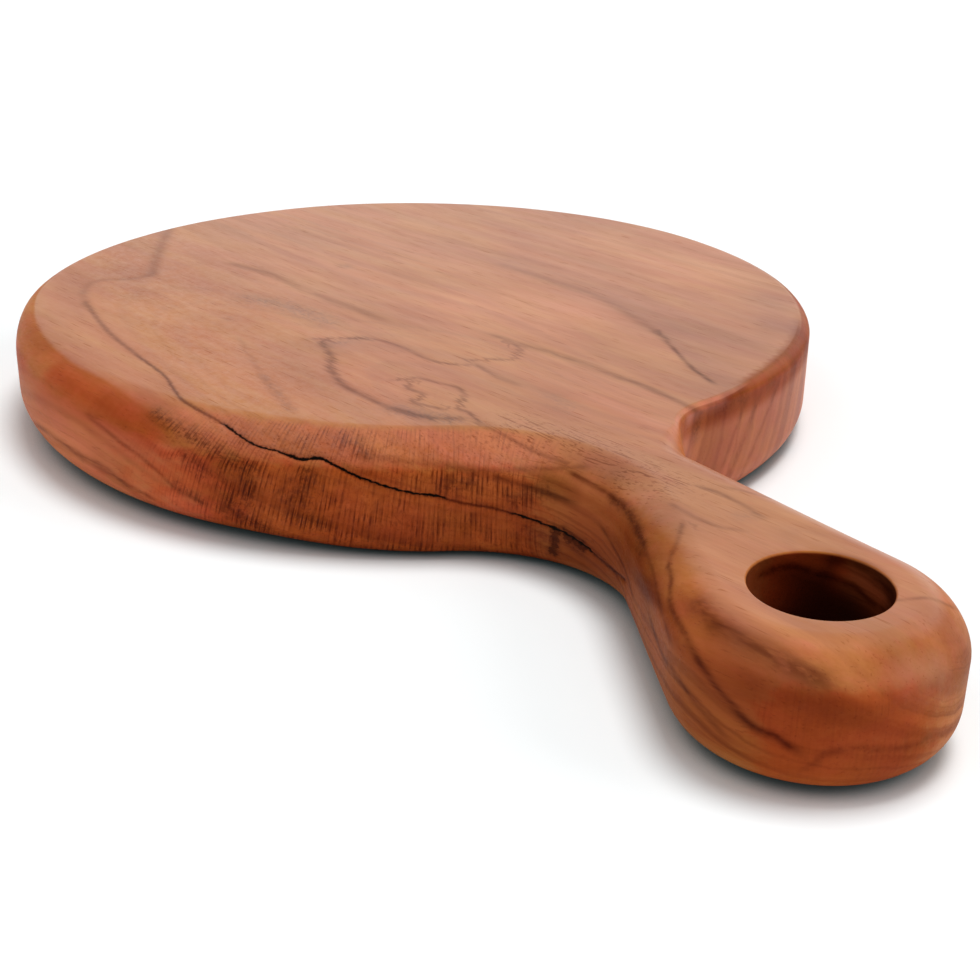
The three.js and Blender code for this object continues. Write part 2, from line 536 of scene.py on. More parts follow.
    def skin(self) -> Skin:
        """Joins the rim, the two flat faces and the bore into one closed skin.

        Returns:
            The skin, with its faces outwards.
        """
        at = self.stations()
        rim, bore = self.rim(at), self.bore()
        rows, around = rim.shape[:2]
        depth, sides = bore.shape[:2]
        top_grid, top_faces = self.face(rim[-1, :, :2], bore[0, :, :2], self.top_grid)
        under_grid, under_faces = self.face(rim[0, :, :2], bore[-1, :, :2], self.under_grid)
        level = np.full((len(top_grid), 1), self.thickness)
        ground = np.zeros((len(under_grid), 1))
        inner = (np.hstack((top_grid, level)), np.hstack((under_grid, ground)))
        points = np.concatenate((rim.reshape(-1, 3), bore.reshape(-1, 3), *inner))
        first_bore = rows * around
        first_top = first_bore + depth * sides
        first_under = first_top + len(top_grid)
        index = np.arange(len(points))
        top_edges = index[first_bore - around : first_bore + sides]
        top_index = np.concatenate((top_edges, index[first_top:first_under]))
        under_edges = (index[:around], index[first_top - sides : first_top])
        under_index = np.concatenate((*under_edges, index[first_under:]))
        triangles = np.concatenate(
            (
                band_triangles(rows, around),
                first_bore + band_triangles(depth, sides),
                top_index[top_faces],
                under_index[under_faces][:, ::-1],
            )
        )
        lining, walked, climb = (np.zeros(len(points)) for _ in range(3))
        lining[first_bore:first_top] = 1.0
        steps = np.linalg.norm(np.diff(at.points, axis=0), axis=1)
        walked[:first_bore] = np.tile(np.concatenate(((0.0,), np.cumsum(steps))), rows)
        inset = np.linalg.norm(rim[..., :2] - at.points, axis=-1)
        height = rim[..., 2]
        climb[:first_bore] = (height + np.where(height > self.thickness / 2, inset, -inset)).ravel()
        return Skin(points, triangles, point_normals(points, triangles), lining, walked, climb)


def point_normals(points: Array, triangles: Array) -> Array:
    """Averages the directions of the triangles round each point, weighted by area.

    Args:
        points: Points, one a row.
        triangles: Indices, three a row.

    Returns:
        Unit directions, one a point.
    """
    a, b, c = (points[triangles[:, corner]] for corner in range(3))
    facing = np.cross(b - a, c - a)
    sums = [np.bincount(triangles.ravel(), np.repeat(column, 3), len(points)) for column in facing.T]
    total = np.stack(sums, axis=-1)
    return total / np.linalg.norm(total, axis=1, keepdims=True)


# Growth rings and the dark figure


class Ring(Enum):
    """Growth rings that show as a dark line or band somewhere on the board."""

    SHAKE = "shake"
    ISLAND = "island"
    HEART = "heart"
    SQUIGGLE = "squiggle"
    DASH = "dash"
    FAR_STREAK = "far_streak"
    PORE_STREAK = "pore_streak"
    RIGHT_LINE = "right_line"
    RIGHT_STREAK = "right_streak"
    RED_EDGE = "red_edge"
    CREASE = "crease"
    BORE_LINE = "bore_line"
    FEATHER = "feather"
    NECK_LINE = "neck_line"
    NECK_VEIN = "neck_vein"
    HANDLE_LINE = "handle_line"
    FLANK_LINE = "flank_line"
    HANDLE_BAND = "handle_band"
    END_LINE = "end_line"
    END_ARC = "end_arc"
    LOW_BAND = "low_band"
    LEFT_LINE = "left_line"
    BORE_RIM = "bore_rim"
    WALL_LINE = "wall_line"
    RIGHT_WALL_NEAR = "right_wall_near"
    RIGHT_WALL_MIDDLE = "right_wall_middle"
    RIGHT_WALL_FAR = "right_wall_far"


class Layer(Enum):
    """Sets of lines that keep clear of each other, so that a point needs to know one line of each."""

    SHAKE = "shake"
    FIGURE = "figure"
    COUNTER = "counter"


@dataclass(frozen=True)
class Stroke:
    """A stretch of a growth ring that shows, by pixels of the photograph that it passes through.

    Its darkness and its half width in millimetres hold near it, out to its reach. Open is how far the wood
    has parted there. Shade darkens the wood on its left, as the stroke runs, or on its right where negative.
    """

    ring: Ring
    pixels: tuple[Pixel, ...]
    dark: float
    half_width: float
    layer: Layer = Layer.FIGURE
    reach: float = 2.5
    open: float = 0.0
    shade: float = 0.0


@dataclass(frozen=True)
class Patch:
    """A patch, by the pixels of the photograph that it covers, its strength and its reach in millimetres."""

    pixels: tuple[Pixel, ...]
    strength: float
    reach: float


SHAKE = Layer.SHAKE
COUNTER = Layer.COUNTER
LINE_VALUES = ("gap", "cross", "dark", "width")

# Dark lines, from the shake over the top and the handle to the walls
STROKES = (
    Stroke(Ring.SHAKE, ((169, 229), (157, 258), (152, 275)), 0.5, 2.0, SHAKE, 4.0, shade=-0.3),
    Stroke(Ring.SHAKE, ((152, 275), (130, 279), (96, 281), (84, 292), (86, 303)),
           0.3, 1.4, SHAKE, 4.0, shade=-0.3),
    Stroke(Ring.SHAKE, ((86, 303), (108, 331), (140, 357)), 0.75, 0.8, SHAKE),
    Stroke(Ring.SHAKE, ((140, 357), (154, 367), (166, 377), (176, 392), (186, 402), (226, 425)),
           0.95, 0.5, SHAKE, open=0.15),
    Stroke(Ring.SHAKE, ((226, 425), (242, 437), (256, 445), (275, 450), (292, 456)),
           1.0, 0.3, SHAKE, open=0.75),
    Stroke(Ring.SHAKE, ((290, 456), (297, 458), (304, 459), (312, 458)), 1.0, 0.55, SHAKE, 1.5, open=1.0),
    Stroke(Ring.SHAKE, ((310, 458), (320, 458), (331, 463), (345, 471), (360, 478)),
           1.0, 0.3, SHAKE, open=1.0),
    Stroke(Ring.SHAKE, ((360, 478), (382, 486), (408, 493), (438, 497)), 1.0, 0.3, SHAKE, open=0.95),
    Stroke(Ring.SHAKE, ((438, 497), (465, 504), (491, 508), (518, 516)), 1.0, 0.4, SHAKE, open=0.25),
    Stroke(Ring.SHAKE, ((518, 516), (541, 524), (564, 534), (587, 549)), 1.0, 0.34, SHAKE, open=0.85),
    Stroke(Ring.SHAKE, ((587, 549), (611, 569), (623, 579)), 1.0, 0.4, SHAKE, open=0.4),
    Stroke(Ring.ISLAND, ((320, 339), (364, 338), (397, 345), (435, 361), (465, 364)), 0.75, 0.9),
    Stroke(Ring.ISLAND, ((469, 360), (492, 359), (513, 359), (519, 347), (503, 339)), 0.65, 0.9),
    Stroke(Ring.ISLAND, ((322, 341), (330, 354), (332, 370), (345, 385), (370, 398), (387, 407)),
           0.8, 1.3),
    Stroke(Ring.ISLAND, ((387, 407), (414, 414), (435, 418), (452, 418)), 0.8, 1.3),
    Stroke(Ring.HEART, ((423, 379), (439, 383), (460, 389), (463, 400), (458, 408), (471, 413), (479, 423)),
           0.75, 0.8, COUNTER),
    Stroke(Ring.SQUIGGLE, ((399, 379), (412, 379), (406, 387), (423, 394), (414, 402), (439, 408)),
           0.75, 0.9, COUNTER, 1.8),
    Stroke(Ring.DASH, ((479, 366), (494, 375), (513, 383)), 0.6, 1.0, COUNTER),
    Stroke(Ring.FAR_STREAK, ((237, 265), (270, 274), (304, 289), (345, 305), (374, 316)),
           0.5, 1.8, reach=5.0),
    Stroke(Ring.PORE_STREAK, ((240, 340), (252, 358), (268, 384), (292, 410)), 0.25, 0.9),
    Stroke(Ring.RIGHT_LINE, ((505, 266), (550, 281), (600, 298), (634, 317), (659, 334)), 0.4, 1.8,
           reach=5.0, shade=0.5),
    Stroke(Ring.RIGHT_LINE, ((658, 330), (666, 340), (673, 348), (686, 362), (698, 372), (711, 381)),
           0.95, 0.8, shade=0.7),
    Stroke(Ring.RIGHT_STREAK, ((500, 337), (527, 345), (563, 356), (618, 377)), 0.6, 1.6, reach=4.0),
    Stroke(Ring.RIGHT_STREAK, ((618, 377), (640, 384), (669, 397), (692, 408)), 0.65, 1.2, reach=4.0),
    Stroke(Ring.RED_EDGE, ((488, 427), (505, 435), (530, 449), (566, 463)), 0.6, 0.45, COUNTER),
    # Painted shade: a dark line along the crease where the near bevel turns down into the wall, darker below
    # it
    Stroke(Ring.CREASE, ((365, 456), (400, 460), (430, 464), (480, 470), (530, 469), (580, 467)),
           0.5, 0.8,
           COUNTER, shade=-0.1),
    Stroke(Ring.FEATHER, ((707, 489), (722, 494), (740, 503), (758, 514)), 0.7, 0.8, COUNTER, 2.0),
    Stroke(Ring.FEATHER, ((676, 506), (697, 518), (718, 526), (734, 529)), 0.6, 0.7, COUNTER, 2.0),
    Stroke(Ring.FEATHER, ((735, 489), (752, 493), (771, 498)), 0.45, 0.6),
    Stroke(Ring.NECK_LINE, ((576, 475), (592, 484), (605, 492), (616, 501)), 1.0, 0.7),
    Stroke(Ring.NECK_LINE, ((616, 501), (626, 509), (636, 525), (643, 543)), 1.0, 1.3, shade=-0.5),
    Stroke(Ring.NECK_LINE, ((643, 543), (648, 558), (653, 573), (657, 592), (661, 612), (668, 636)),
           0.55, 0.55),
    Stroke(Ring.NECK_VEIN, ((607, 536), (615, 550), (623, 565), (628, 578), (631, 590)), 0.85, 0.5),
    Stroke(Ring.HANDLE_LINE, ((682, 526), (677, 542), (671, 556), (668, 566)), 0.55, 0.7, COUNTER),
    Stroke(Ring.HANDLE_LINE, ((668, 566), (671, 580), (669, 598), (673, 612), (682, 630), (698, 660)),
           0.85, 0.8, COUNTER),
    Stroke(Ring.HANDLE_LINE, ((697, 660), (716, 687), (739, 714), (758, 730), (776, 736), (790, 747)),
           1.0, 0.9, COUNTER),
    Stroke(Ring.FLANK_LINE, ((651, 622), (662, 655), (676, 676), (692, 698), (716, 727)), 0.85, 0.8),
    Stroke(Ring.HANDLE_BAND, ((699, 606), (714, 622), (744, 640), (770, 654), (796, 668), (814, 676)),
           0.9, 2.4, reach=3.5, shade=-0.4),
    Stroke(Ring.END_LINE, ((898, 599), (930, 598), (957, 608)), 0.5, 0.6),
    Stroke(Ring.END_ARC, ((814, 763), (828, 753), (852, 749), (892, 749), (932, 741)), 0.5, 0.9),
    Stroke(Ring.LOW_BAND, ((35, 424), (58, 440), (80, 455), (99, 466), (112, 474), (126, 485), (145, 495)),
           0.9, 1.0),
    Stroke(Ring.LEFT_LINE, ((91, 418), (115, 438), (139, 456), (158, 472), (175, 489), (196, 500)),
           0.6, 0.7, COUNTER),
    Stroke(Ring.WALL_LINE, ((500, 478), (532, 488), (563, 499)), 0.7, 0.6, COUNTER),
    Stroke(Ring.RIGHT_WALL_NEAR, ((744, 408), (736, 430), (723, 466)), 0.4, 0.9, COUNTER, shade=-0.45),
    Stroke(Ring.RIGHT_WALL_MIDDLE, ((757, 404), (747, 432), (731, 472)), 0.5, 1.4),
    Stroke(Ring.RIGHT_WALL_FAR, ((777, 388), (757, 440), (741, 476)), 0.4, 1.0, COUNTER),
    Stroke(Ring.BORE_LINE, ((764, 573), (780, 568), (795, 567), (811, 572), (827, 576), (842, 581),
                            (855, 588), (868, 600), (881, 609)), 1.0, 0.8, COUNTER),
    # A dark band just under the hole's right rim
    Stroke(Ring.BORE_RIM, ((838, 560), (858, 567), (876, 578), (888, 591)), 0.9, 1.2),
)

# Charcoal specks and the dark clusters of rays, and painted shade in the crook's inner corner and in the
# hollow of the left shoulder
DARK_MARKS_AND_CORNER_SHADE = (
    Patch(((84, 292),), 0.5, 1.6),
    Patch(((345, 266),), 0.8, 2.2),
    Patch(((228, 319),), 0.7, 1.6),
    Patch(((248, 298), (276, 303), (300, 310), (327, 322)), 0.75, 4.0),
    Patch(((552, 396), (566, 407)), 0.4, 3.0),
    Patch(((555, 532), (554, 543), (553, 552)), 3.0, 1.2),
    Patch(((566, 535), (573, 541), (581, 546)), 3.0, 1.4),
    Patch(((264, 376), (276, 390), (290, 408)), 0.7, 1.5),
    Patch(((398, 409), (426, 415), (452, 420)), 0.9, 3.2),
    Patch(((330, 344), (348, 341), (366, 338)), 0.6, 2.2),
    Patch(((155, 413), (177, 428), (196, 439), (212, 449), (228, 458), (248, 467)), 0.9, 2.0),
    Patch(((160, 418), (180, 432), (200, 443), (222, 455), (245, 468)), 1.0, 1.5),
    Patch(((186, 457), (200, 471)), 0.7, 2.2),
    Patch(((612, 498), (625, 508), (636, 525), (641, 552)), 0.8, 1.5),
    # Painted shade in the hollow of the left shoulder
    Patch(((530, 530), (548, 538)), 0.6, 2.5),
    Patch(((246, 475), (249, 490), (246, 503)), 0.7, 2.2),
    Patch(((285, 498), (303, 502)), 0.6, 2.2),
    Patch(((293, 517), (320, 523)), 0.5, 2.4),
    Patch(((177, 485), (190, 495), (200, 502)), 0.6, 1.6),
    Patch(((228, 503), (246, 519), (262, 526)), 0.8, 2.8),
    Patch(((300, 496), (306, 474)), 0.7, 2.6),
    Patch(((346, 438), (364, 450)), 0.5, 2.6),
    Patch(((446, 486), (470, 480)), 0.6, 2.4),
    Patch(((514, 498), (548, 492)), 0.7, 2.4),
    Patch(((608, 478), (622, 490)), 0.25, 2.6),
    Patch(((884, 703),), 0.25, 2.0),
    Patch(((752, 516), (741, 515)), 0.5, 1.6),
    Patch(((82, 460),), 0.5, 1.6),
    Patch(((125, 484),), 0.5, 1.6),
    Patch(((297, 458),), 0.6, 1.4),
    # Painted shade in the crook's inner corner
    Patch(((698, 420), (697, 430), (695, 438)), 0.8, 1.5),
    Patch(((717, 411), (732, 404), (744, 399)), 0.6, 1.8),
    Patch(((771, 384),), 0.5, 2.2),
)

# Browner patches of the wood, and painted shade in the hollow of the left shoulder, along the foot of the
# near wall and over the right wall
SHADES = (
    Patch(((668, 322), (700, 330), (725, 340)), 0.4, 15.0),
    Patch(((797, 322), (800, 340), (795, 362)), 0.75, 4.5),
    Patch(((722, 412), (742, 402), (762, 390), (780, 376)), 0.6, 2.5),
    Patch(((432, 245), (500, 262), (560, 290)), 0.2, 10.0),
    Patch(((900, 660), (925, 670), (945, 664)), 0.5, 4.5),
    Patch(((245, 432), (285, 440), (325, 446)), 0.5, 5.0),
    # Painted shade in the hollow of the left shoulder
    Patch(((528, 536), (560, 553), (600, 562), (636, 556), (648, 584)), 1.0, 8.0),
    Patch(((766, 300), (778, 318), (768, 336)), 0.5, 7.0),
    # Painted shade over the right wall
    Patch(((735, 440), (765, 430), (790, 402)), 0.45, 14.0),
    Patch(((949, 628), (961, 652)), 0.75, 6.0),
    Patch(((880, 768), (910, 763)), 0.7, 6.0),
    Patch(((104, 402), (128, 418), (150, 434)), 0.4, 4.0),
    Patch(((30, 334), (42, 346)), 0.4, 4.0),
    Patch(((138, 403), (150, 412)), 0.4, 4.0),
    # Painted shade along the foot of the near wall
    Patch(((380, 538), (440, 532), (500, 524), (545, 536)), 0.6, 6.0),
    Patch(((222, 478), (238, 484)), 0.5, 5.0),
    Patch(((546, 484), (572, 494)), 0.7, 4.0),
    Patch(((728, 397), (743, 388)), 1.0, 2.0),
    # Painted shade in the hollow of the left shoulder
    Patch(((532, 532), (550, 540)), 0.9, 4.0),
    Patch(((716, 634), (735, 657), (752, 678)), 0.85, 4.0),
    Patch(((493, 517), (508, 522)), 0.6, 4.0),
    Patch(((100, 466), (118, 474)), 0.5, 4.0),
    Patch(((590, 466), (612, 476)), 0.55, 4.0),
)

# Paler patches of the wood, with painted highlights and painted light: the sheen spot, the lit end and top of
# the handle, and the edge by the crook
LIGHTS = (
    Patch(((470, 298), (520, 303), (560, 314)), 0.8, 12.0),
    Patch(((590, 238), (650, 254), (705, 272)), 0.6, 12.0),
    Patch(((605, 404), (640, 420), (656, 432)), 0.8, 8.0),
    Patch(((365, 375), (395, 388)), 0.6, 7.0),
    Patch(((715, 550), (735, 590), (745, 622)), 1.0, 9.0),
    Patch(((885, 585), (912, 600), (936, 620)), 0.9, 8.0),
    Patch(((800, 648), (850, 650), (880, 690)), 0.8, 6.0),
    Patch(((485, 468), (515, 472)), 0.6, 5.0),
    Patch(((372, 512), (390, 517)), 1.0, 5.0),
    Patch(((250, 520), (270, 524)), 1.0, 5.5),
    Patch(((180, 503), (200, 512)), 0.8, 4.0),
    # Painted highlight along the edge by the crook
    Patch(((690, 418), (697, 411), (710, 404), (722, 398)), 1.0, 1.6),
    Patch(((905, 597), (930, 618)), 1.0, 7.0),
    Patch(((878, 688), (900, 690)), 1.0, 4.0),
    # Painted highlight: the sheen spot on the handle's end
    Patch(((912, 668), (926, 671)), 1.0, 3.0),
    Patch(((790, 735), (830, 741), (870, 738), (915, 722)), 0.7, 7.0),
    Patch(((105, 425), (125, 438), (145, 450)), 0.4, 5.0),
    Patch(((60, 428), (85, 447), (105, 458)), 0.4, 5.0),
    Patch(((588, 499), (612, 516)), 1.0, 6.0),
    Patch(((112, 387), (136, 403)), 0.6, 4.0),
    Patch(((654, 590), (662, 612)), 0.8, 3.0),
    Patch(((940, 714), (942, 728), (938, 741)), 1.0, 2.0),
    Patch(((957, 640), (954, 653)), 0.8, 1.5),
    # Painted light on the handle's lit end
    Patch(((945, 730), (956, 690)), 1.0, 7.0),
)

# Patches that drank more oil
SOAKED = (
    Patch(((18, 344), (22, 362)), 0.5, 4.0),
    Patch(((54, 373), (76, 388), (102, 403), (128, 418), (150, 436)), 1.0, 4.5),
    Patch(((30, 335), (50, 352), (70, 364), (100, 380), (125, 395), (145, 408)), 0.45, 4.0),
    Patch(((680, 608), (715, 655), (756, 690)), 0.5, 6.0),
)

# Places in the hole that light reaches; elsewhere the lining gets painted shade
BORE_LIGHTS = (
    Patch(((754, 578), (759, 589), (768, 598)), 0.85, 5.0),
    Patch(((772, 564), (795, 559), (815, 560)), 0.6, 3.0),
    Patch(((848, 574), (862, 584), (878, 600)), 0.75, 3.2),
)

# Glossier patches
SHEENS = (
    Patch(((906, 668), (920, 672), (934, 668)), 0.8, 4.0),
    Patch(((752, 632), (800, 650), (850, 652)), 0.35, 5.0),
    Patch(((690, 418), (697, 411), (710, 404), (722, 398)), 0.5, 1.6),
    Patch(((890, 600), (930, 622)), 0.3, 8.0),
)

# Patches without ring bands
PLAIN = (
    Patch(((585, 495), (606, 510), (618, 530), (630, 556)), 0.85, 5.0),
)

# The middle line of the patch where open pores lie close together
POROUS_PIXELS = ((515, 424), (545, 434), (575, 440), (610, 452), (640, 470), (672, 485))


@dataclass
class GrowthRings:
    """The plank's growth rings as one smooth field: a level is the ring's distance from the pith.

    The pith is a straight line above the board that follows the grain. A smooth correction bends the rings so
    that each stroke's points share one level. It fades out over a reach that is longer along the grain.
    """

    pith_x: float = -38.0
    pith_z: float = 51.0
    pith_drift: float = -math.tan(GRAIN_TURN)
    pith_rise: float = 0.1
    pith_from: float = -40.0
    bend_reach: float = 40.0
    grain_stretch: float = 1.6
    nugget: float = 0.15
    centres: Array = field(default_factory=lambda: np.zeros((0, 3)))
    weights: Array = field(default_factory=lambda: np.zeros(0))
    levels: dict[Ring, float] = field(default_factory=dict)

    def straight(self, points: Array) -> tuple[Array, Array]:
        """Gives the distance from the pith's line before any bend, and how it changes.

        Args:
            points: Places in the wood, one a row.

        Returns:
            One distance a point, and its gradient.
        """
        along = points[:, 1] - self.pith_from
        dx = points[:, 0] - self.pith_x - self.pith_drift * along
        dz = points[:, 2] - self.pith_z - self.pith_rise * along
        distance = np.hypot(dx, dz)
        slope_y = -(dx * self.pith_drift + dz * self.pith_rise)
        return distance, np.stack((dx, slope_y, dz), axis=-1) / distance[:, None]

    def kernel(self, points: Array) -> tuple[Array, Array, Array]:
        """Gives (1 + a + a^2 / 3) exp(-a) for a = sqrt(5) distance / reach, from each point to each centre.

        Args:
            points: Places in the wood, one a row.

        Returns:
            The kernel, its gradient's common factor, and the scaled offsets that the factor multiplies.
        """
        scale = np.array((1.0, 1.0 / self.grain_stretch, 1.0)) * math.sqrt(5.0) / self.bend_reach
        offsets = (points[:, None, :] - self.centres) * scale
        a = np.linalg.norm(offsets, axis=2)
        fade = np.exp(-a)
        return (1.0 + a + a * a / 3.0) * fade, -(1.0 + a) / 3.0 * fade, offsets * scale

    def fit(self, traced: list[tuple[Stroke, Array]]) -> None:
        """Bends the rings through the strokes.

        Args:
            traced: Each stroke with the places that it passes through.
        """
        self.centres = np.concatenate([places for _, places in traced])
        owners = np.concatenate([np.full(len(places), index) for index, (_, places) in enumerate(traced)])
        rings = np.array([stroke.ring.value for stroke, _ in traced])[owners]
        straight = self.straight(self.centres)[0]
        self.levels = {ring: float(straight[rings == ring.value].mean()) for ring in Ring}
        wanted = np.array([self.levels[Ring(name)] for name in rings])
        matrix = self.kernel(self.centres)[0] + self.nugget * np.eye(len(self.centres))
        self.weights = np.linalg.solve(matrix, wanted - straight)

    def measure(self, points: Array) -> tuple[Array, Array]:
        """Gives the ring level at places in the wood, and how it changes.

        Args:
            points: Places, one a row.

        Returns:
            One level a point, and its gradient.
        """
        level, gradient = self.straight(points)
        for start in range(0, len(points), CHUNK):
            part = slice(start, start + CHUNK)
            value, factor, offsets = self.kernel(points[part])
            level[part] += value @ self.weights
            gradient[part] += np.einsum("pc,pcx->px", factor * self.weights, offsets)
        return level, gradient


def waves(points: Array, count: int, lengths: Span, seed: int) -> Array:
    """Adds up cosine waves of random heading and phase, as a smooth unevenness of about unit size.

    Args:
        points: Places, one a row.
        count: Number of waves.
        lengths: Shortest and longest wavelength.
        seed: Start of the random draws.

    Returns:
        One value a point.
    """
    draw = np.random.default_rng(seed)
    heading = draw.normal(size=(count, 3))
    heading /= np.linalg.norm(heading, axis=1, keepdims=True)
    length = np.exp(draw.uniform(math.log(lengths[0]), math.log(lengths[1]), count))
    phase = draw.uniform(0, math.tau, count)
    crests = np.cos(points @ (heading / length[:, None]).T * math.tau + phase)
    return crests.sum(axis=1) / math.sqrt(count / 2)


def curve(pixels: tuple[Pixel, ...], steps: int = 8) -> Array:
    """Passes a Catmull-Rom curve through pixels.

    Args:
        pixels: Columns and rows that the curve passes through.
        steps: Points to each stretch between two pixels.

    Returns:
        Points along the curve, one a row.
    """
    knots = np.array(pixels, float)
    led = np.concatenate((2 * knots[:1] - knots[1:2], knots, 2 * knots[-1:] - knots[-2:-1]))
    a, b, c, d = (led[start : len(led) - 3 + start, None] for start in range(4))
    t = (np.arange(steps) / steps)[:, None]
    bend = t**2 * (2 * a - 5 * b + 4 * c - d) / 2
    line = b + t * (c - a) / 2 + bend + t**3 * (3 * b - a - 3 * c + d) / 2
    return np.concatenate((line.reshape(-1, 2), knots[-1:]))


# Shader graphs


@dataclass(frozen=True)
class Value:
    """A value or a colour in a node tree. Each sum, difference, product or union adds a Math node."""

    graph: "Graph"
    socket: Socket

    def __add__(self, other: "Value | float") -> "Value":
        """Adds a value."""
        return self.graph.math("ADD", self, other)

    def __sub__(self, other: "Value | float") -> "Value":
        """Takes a value away."""
        return self.graph.math("SUBTRACT", self, other)

    def __rsub__(self, other: float) -> "Value":
        """Takes this value away from a number."""
        return self.graph.math("SUBTRACT", other, self)

    def __mul__(self, other: "Value | float") -> "Value":
        """Multiplies by a value."""
        return self.graph.math("MULTIPLY", self, other)

    def __or__(self, other: "Value") -> "Value":
        """Joins two masks: gives the larger value."""
        return self.graph.math("MAXIMUM", self, other)

    def steep(self, times: float) -> "Value":
        """Multiplies by a number and holds the result between 0 and 1."""
        return self.graph.math("MULTIPLY", self, times, clamp=True)

    def ease(self, low: float, high: float, to: Span = (0.0, 1.0)) -> "Value":
        """Maps the value smoothly from one range to another, and holds it at the ends."""
        inputs = {"Value": self, "From Min": low, "From Max": high, "To Min": to[0], "To Max": to[1]}
        return self.graph.value("MapRange", inputs, interpolation_type="SMOOTHSTEP")

    def tinted(self, share: "Value", tint: Colour) -> "Value":
        """Multiplies a colour by a tint where the share shows."""
        return self.graph.mix(share, self, tint, "MULTIPLY")


@dataclass(frozen=True)
class Cells:
    """Noise cells: how many fit a millimetre across the grain, and how many times that along it and up."""

    scale: float
    along: float = 1.0
    up: float = 1.0
    detail: float = 2.0
    rough: float = 0.5


class Graph:
    """A node tree with short calls: each call adds one node and gives its output."""

    def __init__(self, tree: bpy.types.NodeTree) -> None:
        """Empties the tree and keeps it."""
        self.tree = tree
        tree.nodes.clear()

    def node(self, kind: str, inputs: dict | None = None, **settings) -> bpy.types.Node:
        """Adds a node.

        Args:
            kind: The node's type name after ShaderNode.
            inputs: Values or sockets by input name or number.
            **settings: Properties of the node.

        Returns:
            The node.
        """
        made = self.tree.nodes.new("ShaderNode" + kind)
        for name, value in settings.items():
            setattr(made, name, value)
        for key, value in (inputs or {}).items():
            self.put(made.inputs[key], value)
        return made

    def value(self, kind: str, inputs: dict | None = None, **settings) -> Value:
        """Adds a node as node does, and gives its first output."""
        return Value(self, self.node(kind, inputs, **settings).outputs[0])

    def put(self, socket: Socket, value: Value | Socket | float | tuple) -> None:
        """Links a value to an input, or sets the input's own value."""
        source = value.socket if isinstance(value, Value) else value
        if isinstance(source, Socket):
            self.tree.links.new(source, socket)
        else:
            socket.default_value = source

    def math(self, operation: str, *values: Value | float, clamp: bool = False) -> Value:
        """Adds a Math node."""
        return self.value("Math", dict(enumerate(values)), operation=operation, use_clamp=clamp)

    def mix(self, share: Value, first: Value | Colour, second: Colour, how: str = "MIX") -> Value:
        """Mixes two colours."""
        made = self.node("Mix", {0: share, 6: first, 7: second}, data_type="RGBA", blend_type=how)
        return Value(self, made.outputs[2])

    def noise(self, vector: Value, cells: Cells) -> Value:
        """Adds 3-D noise and gives its value, about 0 to 1."""
        placed = self.value("Mapping", {"Vector": vector, "Scale": (1.0, cells.along, cells.up)})
        inputs = {"Vector": placed, "Scale": cells.scale, "Detail": cells.detail, "Roughness": cells.rough}
        return self.value("TexNoise", inputs)

    def bands(self, level: Value, spacing: float, rough: float) -> Value:
        """Adds 1-D noise on the ring level, in bands about a spacing apart, and gives its value."""
        inputs = {"W": level, "Scale": 1 / spacing, "Detail": 3.0, "Roughness": rough}
        return self.value("TexNoise", inputs, noise_dimensions="1D")

    def attribute(self, name: str) -> Value:
        """Reads a value that the mesh holds at its points."""
        return Value(self, self.node("Attribute", attribute_name=name).outputs["Fac"])


def ring_line_group() -> bpy.types.NodeTree:
    """Builds the mask of a ring's line: dark exp(-((gap + waver) / half width)^2).

    Returns:
        The node group.
    """
    labels = ("Gap", "Waver", "Half Width", "Dark")
    tree = bpy.data.node_groups.new("Ring line", "ShaderNodeTree")
    for label in labels:
        tree.interface.new_socket(name=label, in_out="INPUT", socket_type="NodeSocketFloat")
    tree.interface.new_socket(name="Mask", in_out="OUTPUT", socket_type="NodeSocketFloat")
    graph = Graph(tree)
    entry = tree.nodes.new("NodeGroupInput")
    gap, waver, half_width, dark = (Value(graph, entry.outputs[label]) for label in labels)
    share = graph.math("DIVIDE", gap + waver, half_width)
    line = graph.math("POWER", math.exp(-1.0), share * share)
    leave = tree.nodes.new("NodeGroupOutput")
    graph.put(leave.inputs["Mask"], line * dark)
    return tree


# Finishes


@dataclass(frozen=True)
class TeakCells:
    """The noise cells of teak's patterns, from broad mottling to fine pores."""

    mottle: Cells = Cells(0.055, along=0.35)
    cast: Cells = Cells(0.13, along=0.2, detail=4.0, rough=0.6)
    streak: Cells = Cells(0.33, along=0.1, detail=3.0, rough=0.6)
    wobble: Cells = Cells(0.35, along=0.4, detail=3.0, rough=0.6)
    fray: Cells = Cells(1.3, along=0.03, rough=0.6)
    fibre: Cells = Cells(1.7, along=0.05, detail=3.0, rough=0.6)
    pores: Cells = Cells(2.6, along=0.055, detail=1.0)
    specks: Cells = Cells(2.0, along=0.3, rough=0.6)
    grit: Cells = Cells(1.5, along=0.5, detail=3.0, rough=0.65)
    line_dashes: Cells = Cells(0.5, along=0.15, detail=3.0, rough=0.65)
    shake_jag: Cells = Cells(1.2, detail=3.0, rough=0.6)
    gloss_dots: Cells = Cells(0.7, along=0.6, detail=4.0, rough=0.7)
    ray_drift: Cells = Cells(0.4, rough=0.6)
    ray_comb: Cells = Cells(1.5)
    ray_dashes: Cells = Cells(0.35, along=6.0, detail=3.0, rough=0.65)
    ray_cloud: Cells = Cells(0.2, up=0.8, detail=4.0, rough=0.65)
    ray_pits: Cells = Cells(2.4, rough=0.6)


